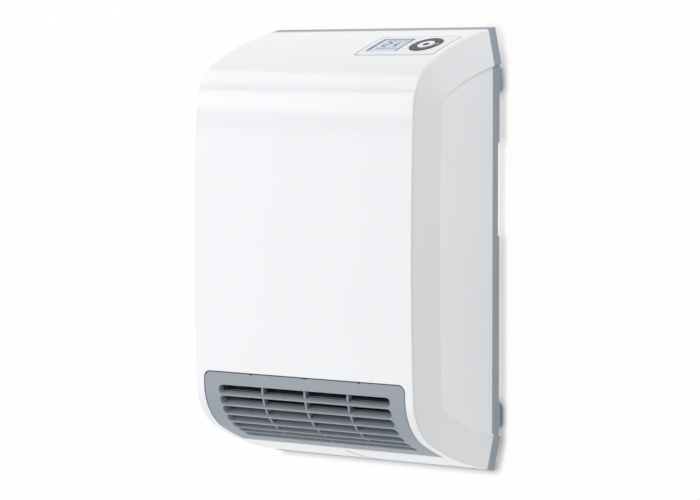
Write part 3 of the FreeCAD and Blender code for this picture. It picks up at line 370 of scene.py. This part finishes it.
def lines(*runs):
    """Merged line places from runs of (start, end, spacing)."""
    counts = [max(int(round(abs(b - a) / step)), 1) + 1 for a, b, step in runs]
    places = [np.linspace(a, b, count) for (a, b, step), count in zip(runs, counts)]
    return np.unique(np.concatenate(places).round(4))


BEVEL_IN, BEVEL_OUT, RIM_CORNER = 37.0, 8.2, 7.0
RIM_HIGH, RIM_IN, PANEL_IN = 0.9, 2.2, 3.0
side_x = HALF_WIDTH + BEVEL_OUT
side_profile = rounded_path(
    [(HALF_WIDTH - 8, 0), (HALF_WIDTH, 0), (side_x, BEVEL_IN), (side_x, BEVEL_IN + RIM_HIGH),
     (side_x - RIM_IN, BEVEL_IN + RIM_HIGH), (side_x - RIM_IN, BEVEL_IN + PANEL_IN)], [2.4, 0.5, 0.35, 0.4], 6)
FLAT_HALF = side_profile[1, 0]
PANEL_X, PANEL_HALF, PANEL_DEEP = 86.75, 52.75, 28.2
PANEL_OUT, PANEL_FRAME, PANEL_EDGE = 73.8, 4.0, 0.3
OUTLET_FRAME, OUTLET_EDGE, SILL = 5.0, 0.4, 2.6
PANEL_S = ARCH_RUN + ARCH_R * (ARCH_TURN - math.acos((ARCH_Y + PANEL_OUT) / ARCH_R))
panel_hole = (PANEL_X, PANEL_HALF, PANEL_S - PANEL_DEEP, PANEL_S + PANEL_DEEP, 4.0, 4.0)
outlet_hole = (0.0, OUTLET_HALF, OUTLET_TOP, OUTLET_TOP + OUTLET_RUN, 8.0, 1.6)
panel_x = (PANEL_X - PANEL_HALF - PANEL_FRAME, PANEL_X + PANEL_HALF + PANEL_FRAME)
panel_s = (PANEL_S - PANEL_DEEP - PANEL_FRAME, PANEL_S + PANEL_DEEP + PANEL_FRAME)
outlet_s = (OUTLET_TOP - OUTLET_FRAME, OUTLET_TOP + OUTLET_RUN + OUTLET_FRAME)
LATCH_X, LATCH_HALF, LATCH_RISE, LATCH_DEEP = 130.0, 5.2, 6.3, 2.7
latch_sides = [side * LATCH_X + half for side in (-1, 1) for half in (-LATCH_HALF, LATCH_HALF)]
CORNER_RUN, STEP_HALF = 8.0, 0.1
LOWER_SHOULDER = SKIN_RUN - ARCH_RUN - SHOULDER_RUN
x_lines = lines((-FLAT_HALF, FLAT_HALF, 12), (panel_x[0], panel_x[0] + CORNER_RUN, 0.8),
                (panel_x[1] - CORNER_RUN, panel_x[1], 0.8), (-FLAT_HALF, CORNER_RUN - OUTLET_HALF, 1.2),
                (OUTLET_HALF - CORNER_RUN, FLAT_HALF, 1.2), (-5, 5, 0.4),
                *((x - STEP_HALF, x + STEP_HALF, 0.2) for x in latch_sides))
s_lines = lines((0, ARCH_RUN, 7), (ARCH_RUN, ARCH_RUN + SHOULDER_RUN, 1.6),
                (ARCH_RUN + SHOULDER_RUN, LOWER_SHOULDER, 10), (LOWER_SHOULDER, SKIN_RUN - ARCH_RUN, 1.6),
                (SKIN_RUN - ARCH_RUN, SKIN_RUN, 4), (panel_s[0], panel_s[0] + CORNER_RUN, 0.8),
                (panel_s[1] - CORNER_RUN, panel_s[1], 0.8), (outlet_s[0], OUTLET_TOP + CORNER_RUN, 1.2),
                (outlet_s[1] - 7, outlet_s[1], 1.0),
                (SKIN_RUN - LATCH_RISE - STEP_HALF, SKIN_RUN - LATCH_RISE + STEP_HALF, 0.2))


def between(places, low, high):
    """Line places from low to high, both included."""
    return places[(places >= low - 1e-3) & (places <= high + 1e-3)]


GROOVE_START, GROOVE_RUN, GROOVE_DEEP = 7.0, 18.0, 5.0


def skin_dip(x, s):
    """What the bottom strip is sunk by: a groove on the centre line that widens towards the rear edge and
    deepens with the root of the way along it, and a square window for the latch at either end of that edge."""
    along = np.clip((s - OUTLET_TOP - OUTLET_RUN - GROOVE_START) / GROOVE_RUN, 0, 1)
    groove = GROOVE_DEEP * along ** 0.5 * np.clip(1.6 - np.abs(x) / (0.8 + 2.2 * along), 0, 1)
    latch = (np.abs(np.abs(x) - LATCH_X) < LATCH_HALF) & (s > SKIN_RUN - LATCH_RISE)
    return np.where(latch, LATCH_DEEP, groove)


def skin_tile(x, s):
    """Plain stretch of skin between lines."""
    across, along = np.meshgrid(x, s, indexing="ij")
    return on_skin(across, along, skin_dip(across, along))


ahead = (0, -1, 0)
above = (0, -0.34, 0.94)
below = (0, -0.34, -0.94)
cover = [
    patch(skin_tile(x_lines, between(s_lines, 0, panel_s[0])), above),
    patch(skin_tile(between(x_lines, -FLAT_HALF, panel_x[0]), between(s_lines, *panel_s)), above),
    patch(skin_tile(between(x_lines, panel_x[1], FLAT_HALF), between(s_lines, *panel_s)), above),
    patch(round_opening(between(x_lines, *panel_x), between(s_lines, *panel_s), panel_hole, PANEL_EDGE, SILL),
          above),
    patch(skin_tile(x_lines, between(s_lines, panel_s[1], outlet_s[0])), ahead),
    patch(round_opening(x_lines, between(s_lines, *outlet_s), outlet_hole, OUTLET_EDGE, SILL), ahead),
    patch(skin_tile(x_lines, between(s_lines, outlet_s[1], SKIN_RUN)), below),
]
outer_line = np.stack(side_line(s_lines, 0.0)[:2], -1)
rim_line = np.stack(side_line(s_lines, BEVEL_IN, shoulder(BEVEL_IN, RIM_CORNER))[:2], -1)
for side in (-1, 1):
    bevel_x, share = side_profile[1:, 0, None, None] * side, side_profile[1:, 1, None, None] / BEVEL_IN
    bevel = outer_line + (rim_line - outer_line) * share
    bevel = np.concatenate([np.broadcast_to(bevel_x, bevel.shape[:2] + (1,)), bevel], -1)
    cover.append(patch(bevel, ahead))
    inwards = np.linspace(0, 1, 4)[:, None, None] * [0.0, 1.0, 0.0]
    side_panel = bevel[-1] + (SEAM_Y - bevel[-1, :, 1:2]) * inwards
    cover.append(patch(side_panel, (side, 0, 0)))
white = moulded("white_satin", (0.868, 0.876, 0.900), 0.42, 1700.0, 0.03, gloss=0.55)
piece("cover", cover, white, "heater", "white_shell", "front_cover", wall=0.0022)


# Outlet grille: a louvred plate moulded in grey plastic, let into the lower front curve from inside.
# Seven rows of slots are drawn through its thick middle on a rise, and three upright ribs tie the blades.
# The finger guard behind it is a moulding of its own, coloured near black: painted shade for the dark inside of
# the slots.
GAP, SINK, PLATE_EDGE, PLATE_SIDE = 1.0, 0.3, 0.6, 3.2
FIELD_DROP, FIELD_HALF, SLOT_PITCH, SLOT_ROWS = 13.925, 118.1, 12.15, 7
SLOT_END_R, SLOT_CLEAR, LIP, NOSE = 3.9, 0.2, 1.5, 4.2
SLOT_RISE = (28, 29, 32, 34, 36, 38, 40)
SLOT_DEEP = (7.8, 11.5, 12.5, 12.5, 12.5, 12.5, 12.5)
plate_hole = (0.0, OUTLET_HALF - GAP, OUTLET_TOP + GAP, OUTLET_TOP + OUTLET_RUN - GAP, 7.5, 1.2)
field_s = (OUTLET_TOP + FIELD_DROP, OUTLET_TOP + FIELD_DROP + SLOT_ROWS * SLOT_PITCH)
bars = np.linspace(field_s[0], field_s[1], SLOT_ROWS + 1)
NOTCH_MID, NOTCH_X, NOTCH_HALF, NOTCH_IN = 3.0, 74.0, 1.8, 0.8
END_RUN = 7.0
spread = (OUTLET_HALF - GAP) / FIELD_HALF
notch_sides = [(at + half) / spread for at in (NOTCH_MID - NOTCH_X, NOTCH_MID, NOTCH_MID + NOTCH_X)
               for half in (-NOTCH_HALF, NOTCH_HALF)]
grille_x = lines((-FIELD_HALF, END_RUN - FIELD_HALF, 0.45), (END_RUN - FIELD_HALF, FIELD_HALF - END_RUN, 9),
                 (FIELD_HALF - END_RUN, FIELD_HALF, 0.45),
                 *((x - STEP_HALF, x + STEP_HALF, 0.2) for x in notch_sides))
grille_s = np.unique(np.concatenate([np.linspace(a, b, 27) for a, b in zip(bars, bars[1:])]).round(4))
grille = []
for low, high, rise, deep in zip(bars, bars[1:], np.radians(SLOT_RISE), SLOT_DEEP):
    draw = np.array([0.0, math.cos(rise), math.sin(rise)])
    frame_in = LIP + SLOT_CLEAR
    slot_hole = (0.0, FIELD_HALF - frame_in, low + frame_in, high - frame_in, SLOT_END_R, SLOT_END_R)
    slot_s = between(grille_s, low, high)
    mouth = round_opening(grille_x, slot_s, slot_hole, LIP, deep, draw, SINK, NOSE)
    cell_x, cell_s = edge_of(grille_x, slot_s)
    turn = side_line(cell_s, 0.0)[2]
    reach = deep / np.cos(-turn - rise)
    rear_edge = on_skin(cell_x, cell_s, SINK) + draw * reach[:, None]
    out_y, out_z = -math.cos(turn.mean()), math.sin(turn.mean())
    grille.append(patch(np.concatenate([mouth, rear_edge[None]]), (0, out_y, out_z)))
inner_x, inner_s = edge_of(grille_x, grille_s)
outer_x = inner_x * spread
outer_s = plate_hole[2] + (inner_s - field_s[0]) / (field_s[1] - field_s[0]) * (plate_hole[3] - plate_hole[2])
from_mid = np.abs(outer_x - NOTCH_MID)
in_notch = np.abs(from_mid - NOTCH_X * (from_mid > NOTCH_X / 2)) < NOTCH_HALF
notch = np.where(in_notch & (inner_s < field_s[0] + 0.01), NOTCH_IN, 0.0)
margin = []
for fall in np.radians([0.0, 30.0, 60.0, 90.0]):
    rim_x, rim_s = opening_line(outer_x, outer_s, plate_hole, -PLATE_EDGE * (1 - math.sin(fall)))
    for share in (0.0, 0.03, 0.35, 0.7, 0.9, 1.0) if fall == 0 else (1.0,):
        cut = notch if share == 1 else 0.0
        margin.append(on_skin(inner_x + (rim_x - inner_x) * share, inner_s + (rim_s - inner_s) * share + cut,
                              SINK + PLATE_EDGE * (1 - math.cos(fall))))
margin.append(on_skin(rim_x, rim_s + notch, PLATE_SIDE))
grille.append(patch(np.stack(margin), ahead))
RIB_X, RIB_HALF, RIB_FRONT, RIB_DEEP = 58.5, 1.4, 3.6, 9.5
rib_section = rounded_path([(-RIB_HALF, RIB_DEEP), (-RIB_HALF, RIB_FRONT), (RIB_HALF, RIB_FRONT),
                            (RIB_HALF, RIB_DEEP)], [0.8, 0.8], 4)[:, :, None]
rib_lift = np.linspace(0, 1.0, len(grille_s))
for rib in (-RIB_X, 0.0, RIB_X):
    rib_side = on_skin(rib + rib_section[:, 0], grille_s, rib_section[:, 1] - rib_lift)
    grille.append(patch(rib_side, (-1, 0, 0)))
grille_grey = moulded("grille_grey", (0.313, 0.354, 0.394), 0.48, 2400.0, 0.10)
piece("grille", grille, grille_grey, "heater", "grille_grey", "outlet_grille")
# Near-black guard: painted shade, so the inside seen through the slots reads dark.
guard_painted_shade = moulded("guard_painted_shade", (0.014, 0.015, 0.017), 0.7, 1500.0, 0.1, shine=0.15)
coat(guard_painted_shade, "finger_guard")


# Control panel: a white plate set flush in the arched top, with an opening for the display and a round
# well for the keys. It is held from inside by its flange. A thin dark grey strip lies in the gap round it:
# painted shade that darkens the gap line.
def panel_place(points):
    """From panel terms (x across, y up the slope, z out of it) to the object's place: turned by the arch's
    tilt at the panel's middle, then moved there."""
    tilt = math.pi / 2 - math.acos((ARCH_Y + PANEL_OUT) / ARCH_R)
    y, z = side_line(PANEL_S, 0.0)[:2]
    c, s = math.cos(tilt), math.sin(tilt)
    across, up, out = np.moveaxis(np.asarray(points, float), -1, 0)
    return np.stack([across + PANEL_X, up * c - out * s + y, up * s + out * c + z], -1)


WINDOW_X, WINDOW_UP, WINDOW_HALF, WINDOW_DEEP = -24.0, 1.5, 21.25, 19.0
RING_X, RING_UP, WELL_R, WELL_DEEP = 23.5, 1.2, 18.9, 6.0
TRAY_DEEP, HOLE_EDGE, PLATE_GAP, PLATE_WALL = 24.0, 0.35, 1.2, 3.0
tray_left, tray_split, tray_right = PANEL_X - 48.5, PANEL_X + 0.3, PANEL_X + 47.0
tray_s = lines((PANEL_S - TRAY_DEEP, PANEL_S + TRAY_DEEP, 1.0))
left_x = lines((tray_left, tray_split, 1.2))
right_x = lines((tray_split, tray_right, 1.0))
window_s, well_s = PANEL_S - WINDOW_UP, PANEL_S - RING_UP
window_hole = (PANEL_X + WINDOW_X, WINDOW_HALF, window_s - WINDOW_DEEP, window_s + WINDOW_DEEP, 2.0, 2.0)
well_hole = (PANEL_X + RING_X, WELL_R, well_s - WELL_R, well_s + WELL_R, WELL_R - 0.01, WELL_R - 0.01)
plate = [patch(round_opening(left_x, tray_s, window_hole, HOLE_EDGE, SILL), above),
         patch(round_opening(right_x, tray_s, well_hole, HOLE_EDGE, WELL_DEEP), above)]
rim_in_x, rim_in_s = edge_of(np.unique(np.concatenate([left_x, right_x])), tray_s)
tray_mid, tray_half = (tray_left + tray_right) / 2, (tray_right - tray_left) / 2
plate_deep = PANEL_DEEP - PLATE_GAP
plate_out = (PANEL_X, PANEL_HALF - PLATE_GAP, PANEL_S - plate_deep, PANEL_S + plate_deep, 3.2, 3.2)
rim_out_x = PANEL_X + (rim_in_x - tray_mid) / tray_half * plate_out[1]
rim_out_s = PANEL_S + (rim_in_s - PANEL_S) / TRAY_DEEP * plate_deep
border = []
edge_x, edge_s = opening_line(rim_out_x, rim_out_s, plate_out, -PANEL_EDGE)
for share in (0.0, 0.5, 0.9, 1.0):
    border.append(on_skin(rim_in_x + (edge_x - rim_in_x) * share, rim_in_s + (edge_s - rim_in_s) * share, 0.0))
for angle in np.radians([30.0, 60.0, 90.0]):
    edge_x, edge_s = opening_line(rim_out_x, rim_out_s, plate_out, -PANEL_EDGE * (1 - math.sin(angle)))
    border.append(on_skin(edge_x, edge_s, PANEL_EDGE * (1 - math.cos(angle))))
border.append(on_skin(edge_x, edge_s, PLATE_WALL))
plate.append(patch(np.stack(border), above))
round_well = np.linspace(0, 2 * math.pi, 73)
floor_r = np.array([WELL_R + 0.2, 4.0])[:, None]
well_floor = np.stack(np.broadcast_arrays(RING_X + floor_r * np.cos(round_well),
                                          RING_UP + floor_r * np.sin(round_well), 0.1 - WELL_DEEP), -1)
plate.append(patch(panel_place(well_floor), above))
panel_white = moulded("panel_white", (0.850, 0.858, 0.880), 0.36, 2100.0, 0.05)
piece("control_plate", plate, panel_white, "heater", "white_trim", "control_panel")
# Dark grey strip sunk in the gap round the plate: painted shade for the gap's dark line.
gap_shade_strip = [on_skin(*opening_line(rim_out_x, rim_out_s, plate_out, grow), sunk)
        for grow, sunk in ((-0.1, 0.9), (0.0, 0.3), (0.4, 0.2), (0.8, 0.2), (1.2, 0.3), (1.3, 0.9))]
gap_shade_grey = moulded("gap_shade_grey", (0.16, 0.17, 0.19), 0.7, 900.0, 0.15)
piece("panel_gap_shade", [patch(np.stack(gap_shade_strip), above)], gap_shade_grey, "heater", "soft_rubber")


# Display: a liquid-crystal cell bonded behind a window that sits nearly flush in the plate. The cell is pale
# blue and lit from behind, its window is printed dark along three edges, and the figures are bars.
def flat_bars(places, size, lift):
    """Flat six-sided segments in panel terms: each place is a centre and a turn, size its half length and
    half width, with points cut at half a right angle."""
    places = np.asarray(places, float)
    long, wide = size
    shape = np.array([(-long, 0), (-long + wide, -wide), (long - wide, -wide),
                      (long, 0), (long - wide, wide), (-long + wide, wide)])
    c, s = np.cos(places[:, 2])[:, None], np.sin(places[:, 2])[:, None]
    x = places[:, :1] + shape[:, 0] * c - shape[:, 1] * s
    y = places[:, 1:2] + shape[:, 0] * s + shape[:, 1] * c
    points = panel_place(np.stack(np.broadcast_arrays(x, y, lift), -1)).reshape(-1, 3)
    first = np.arange(len(places))[:, None] * 6
    quads = np.concatenate([first + np.array([[0, 1, 4, 5]]), first + np.array([[1, 2, 3, 4]])])
    return points, quads


def figures(text, x, y, high):
    """Centres and turns of the lit segments of figures written from x, y upwards."""
    shown = {"1": "bc", "2": "abged", "5": "afgcd"}
    spots = {"a": (0.5, 2, 0), "b": (1, 1.5, 1), "c": (1, 0.5, 1), "d": (0.5, 0, 0), "e": (0, 0.5, 1),
             "f": (0, 1.5, 1), "g": (0.5, 1, 0)}
    unit, pitch = high / 2, 1.75
    segments = [(n * pitch, *spots[key]) for n, figure in enumerate(text) for key in shown[figure]]
    return [(x + (start + right) * unit, y + up * unit, upright * math.pi / 2)
            for start, right, up, upright in segments]


def within(finish, place, half, soft):
    """One inside a distance of the middle of a line, nothing outside it, with a soft step."""
    away = finish.node("ShaderNodeMath", {"operation": "ABSOLUTE"}, {0: place})
    return finish.node("ShaderNodeMapRange", {}, {
        "Value": away, "From Min": half + soft, "From Max": half - soft})


cell = Finish("display_cell", IOR=1.49, Emission_Strength=0.10, Coat_Weight=0.2, Coat_Roughness=0.08)
window_mid = panel_place((WINDOW_X, WINDOW_UP, 0.0)) * 0.001
LIT_HALF, LIT_SOFT, LIT_LEFT, LIT_FRONT = 0.0176, 0.0004, 0.0005, 0.002
across = cell.node("ShaderNodeSeparateXYZ", {}, {0: cell.place}, out="X") - float(window_mid[0])
depth = cell.node("ShaderNodeSeparateXYZ", {}, {0: cell.place}, out="Y") - float(window_mid[1])
lit = (within(cell, across + LIT_LEFT, LIT_HALF, LIT_SOFT)
       * within(cell, depth + LIT_FRONT, LIT_HALF, LIT_SOFT))
glow = cell.noise(70.0)
tone = cell.mix(glow, (0.44, 0.51, 0.67, 1.0), (0.52, 0.59, 0.74, 1.0))
coat(cell.feed(Base_Color=cell.mix(lit, (0.06, 0.065, 0.075, 1.0), tone), Roughness=0.22 + 0.1 * glow,
               Emission_Color=cell.mix(lit, (0.0, 0.0, 0.0, 1.0), tone)), "display_window")
coat(black, "lcd_module")
ink = moulded("display_ink", (0.045, 0.06, 0.11), 0.5, 900.0, 0.02, shine=0.2)
INK_LIFT = -0.74
shown = [flat_bars(figures("21", WINDOW_X - 9.5, WINDOW_UP - 3.5, 12.0), (2.8, 0.85), INK_LIFT),
         flat_bars(figures("5", WINDOW_X + 4.5, WINDOW_UP - 3.5, 7.0), (1.6, 0.6), INK_LIFT),
         flat_bars([(WINDOW_X - 11 + 4.4 * n, WINDOW_UP - 9.5, 0) for n in range(6)], (1.8, 0.8), INK_LIFT),
         flat_bars([(WINDOW_X - 10 + 7 * n, WINDOW_UP + 12.5, 0) for n in range(4)], (2.4, 0.7), INK_LIFT)]
piece("display_figures", shown, ink, "heater", "display")


# Rocker ring and centre key: a dark moulded ring that tips left and right about its pivots, and a white
# push key inside it on its own stem. Both sit in the panel's round well.
def turned(profile, x, y, steps=96):
    """Profile of radius and height spun round the panel's outward direction at x, y."""
    angle = np.linspace(0, 2 * math.pi, steps + 1)[None, :]
    r, z = profile[:, :1], profile[:, 1:]
    return panel_place(np.stack(np.broadcast_arrays(x + r * np.cos(angle), y + r * np.sin(angle), z), -1))


RING_IN, RING_MID, RING_R, RING_FOOT, KEY_R = 10.3, 14.5, 18.4, -2.2, 9.7
ring_profile = rounded_path([(RING_IN, RING_FOOT), (RING_IN, 0.05), (RING_MID, 0.1), (RING_R, 0.25),
                             (RING_R, RING_FOOT), (RING_IN + 0.01, RING_FOOT)], [0.5, 8.0, 0.7, 0.3], 5)
dark = moulded("key_dark", (0.045, 0.048, 0.054), 0.40, 1500.0, 0.03, shine=0.22)
marks = moulded("key_mark", (0.62, 0.64, 0.66), 0.45, 900.0, 0.02)
outwards = (1, 0, 0)
ring_body = patch(turned(ring_profile, RING_X, RING_UP), outwards)
piece("rocker_ring", [ring_body], dark, "ring", "dark_key", "control_ring")
MARK_SIZE, MARK_LIFT = (2.6, 0.7), 0.32
minus_at, plus_at = (RING_X - RING_MID, RING_UP), (RING_X + RING_MID, RING_UP)
ring_marks = flat_bars([(*minus_at, 0), (*plus_at, 0), (*plus_at, math.pi / 2)], MARK_SIZE, MARK_LIFT)
piece("ring_marks", [ring_marks], marks, "ring", "white_trim")
key_profile = rounded_path([(KEY_R, -1.8), (KEY_R, 0.35), (6.0, 0.05), (0.001, 0.0)], [0.5, 10.0], 5)
key_body = patch(turned(key_profile, RING_X, RING_UP), outwards)
piece("push_key", [key_body], panel_white, "key", "white_trim", "centre_key")
dot = turned(np.array([(3.9, 0.08), (3.5, 0.14), (0.001, 0.14)]), RING_X, RING_UP, 48)
piece("key_mark", [patch(dot, above)], ink, "key", "dark_key")


# Stage: one pale sheet that comes down the wall behind the heater and runs out as the floor, seen white by
# the camera, with a narrow shadow painted into that white along the heater's right and lower edges. Soft boxes
# stand in front, above, beside and behind.
class Shade(Finish):
    """A tree that mixes whole shaders and not only what goes into one."""

    def blend(self, amount, first, second):
        """Shader between two shaders."""
        return self.node("ShaderNodeMixShader", {}, {0: amount, 1: first, 2: second})

    def ray(self, kind):
        """One for rays of that kind, nothing for others."""
        return self.node("ShaderNodeLightPath", {}, {}, out=f"Is {kind} Ray")

    def looked_at(self):
        """One where the camera looks, straight, by reflection or through a pane."""
        return self.ray("Camera") + self.ray("Glossy") + self.ray("Transmission")


WHITE, SHADOW = (1.0, 1.0, 1.0, 1.0), (0.06, 0.06, 0.07, 1.0)
SHADOW_WIDE, SHADOW_FULL, PAINTED_SHADOW_SIDE_START = 0.010, 0.45, -0.12
sweep_line = rounded_path([(2.0, 3000.0), (2.0, -1400.0), (-4000.0, -1400.0)], [600.0], 16)
sheet_x = np.linspace(-3500.0, 3500.0, 3)
sheet = np.stack(np.broadcast_arrays(sheet_x[:, None], sweep_line[None, :, 0], sweep_line[None, :, 1]), -1)
paper = Shade("studio_paper", Roughness=0.9)
paper.feed(Base_Color=paper.mix(paper.noise(3.0), (0.85, 0.85, 0.85, 1.0), (0.87, 0.87, 0.87, 1.0)))
surface = Wire(paper, paper.shader.outputs[0])
right, up = (paper.node("ShaderNodeSeparateXYZ", {}, {0: paper.place}, out=axis) for axis in "XZ")
# Painted shadow mask: only where the sheet lies right of and below the heater does the painted shadow show.
painted_shadow_side = paper.node("ShaderNodeMapRange", {}, {"Value": right - up, "From Min": PAINTED_SHADOW_SIDE_START, "From Max": 0.0})
near = paper.node("ShaderNodeAmbientOcclusion", {"samples": 8}, {"Distance": SHADOW_WIDE}, out="AO")
shaded = paper.node("ShaderNodeMapRange", {}, {"Value": near, "From Min": 1.0, "From Max": SHADOW_FULL})
# Emitted white that ambient occlusion darkens towards SHADOW near the heater: a painted shadow, not one cast by
# a lamp.
white_and_painted_shadow = paper.node("ShaderNodeEmission", {}, {
    "Color": paper.mix(shaded * painted_shadow_side, WHITE, SHADOW), "Strength": 1.0})
seen = paper.blend(paper.looked_at(), surface, paper.blend(0.97, surface, white_and_painted_shadow))
hidden = paper.node("ShaderNodeNewGeometry", {}, {}, out="Backfacing") + paper.ray("Shadow")
seen = paper.blend(hidden, seen, paper.node("ShaderNodeBsdfTransparent", {}, {}))
paper.tree.links.new(seen.socket, paper.tree.nodes["Material Output"].inputs["Surface"])
points, quads = patch(sheet, ahead)
mesh = bpy.data.meshes.new("studio_sheet")
mesh.from_pydata((points * 0.001).tolist(), [], quads.tolist())
mesh.polygons.foreach_set("use_smooth", np.ones(len(mesh.polygons), bool))
mesh.materials.append(paper.material)
studio = bpy.data.objects.new("studio_sheet", mesh)
bpy.context.scene.collection.objects.link(studio)


class Sky(Shade):
    """The world's tree, begun with its plain background."""

    def __init__(self, name, strength):
        self.world = bpy.data.worlds.new(name)
        self.world.use_nodes = True
        self.tree = self.world.node_tree
        self.shader = self.tree.nodes["Background"]
        self.shader.inputs["Color"].default_value = WHITE
        self.shader.inputs["Strength"].default_value = strength


sky = Sky("studio", 0.40)
bpy.context.scene.world = sky.world
dim = Wire(sky, sky.shader.outputs[0])
full = sky.node("ShaderNodeBackground", {}, {"Color": WHITE, "Strength": 1.0})
either = sky.blend(sky.looked_at(), dim, full)
sky.tree.links.new(either.socket, sky.tree.nodes["World Output"].inputs["Surface"])


def soft_box(name, at, towards, size, power):
    """Rectangular lamp at a place, facing a point, with width, height and power."""
    lamp = bpy.data.lights.new(name, "AREA")
    lamp.shape = "RECTANGLE"
    lamp.size, lamp.size_y = size
    lamp.energy = power
    made = bpy.data.objects.new(name, lamp)
    bpy.context.scene.collection.objects.link(made)
    made.location = at
    way = np.asarray(towards, float) - np.asarray(at, float)
    made.rotation_mode = "XYZ"
    down = math.acos(-way[2] / np.linalg.norm(way))
    made.rotation_euler = (down, 0.0, math.atan2(way[0], -way[1]) + math.pi)


soft_box("front_box", (-1.0, -2.85, -0.7), (0, -0.08, 0), (2.9, 2.0), 30.5)
soft_box("top_box", (-1.5, -0.9, 1.8), (0, -0.08, 0.1), (1.8, 0.65), 6.5)
soft_box("key_box", (-1.9, -2.0, 0.915), (0, -0.08, 0.1), (1.6, 1.25), 19.0)
soft_box("side_box", (1.7, 1.9, -0.4), (0, -0.08, 0), (1.2, 2.0), 9.0)
soft_box("over_box", (1.3, 0.45, 2.1), (0.1, -0.05, 0), (1.0, 1.0), 19.5)
soft_box("band_box", (-1.26, -0.25, 1.8), (0, -0.08, 0.15), (1.6, 0.07), 0.2)
soft_box("rear_box", (0.6, 2.2, -0.4), (0, 0, 0), (1.6, 1.6), 1.0)

CAMERA_AT, CAMERA_LENS, CAMERA_DIP = (2.0847, -2.6372, 0.1755), 159.1, math.radians(3.08)
CAMERA_TURN = math.atan2(0.6293, 0.7771)
camera = bpy.data.cameras.new("camera")
camera.lens = CAMERA_LENS
camera.sensor_width = 36.0
view_point = bpy.data.objects.new("camera", camera)
bpy.context.scene.collection.objects.link(view_point)
view_point.location = CAMERA_AT
view_point.rotation_mode = "XYZ"
view_point.rotation_euler = (math.pi / 2 - CAMERA_DIP, 0.0, CAMERA_TURN)
bpy.context.scene.camera = view_point
bpy.context.scene.view_settings.view_transform = "Standard"
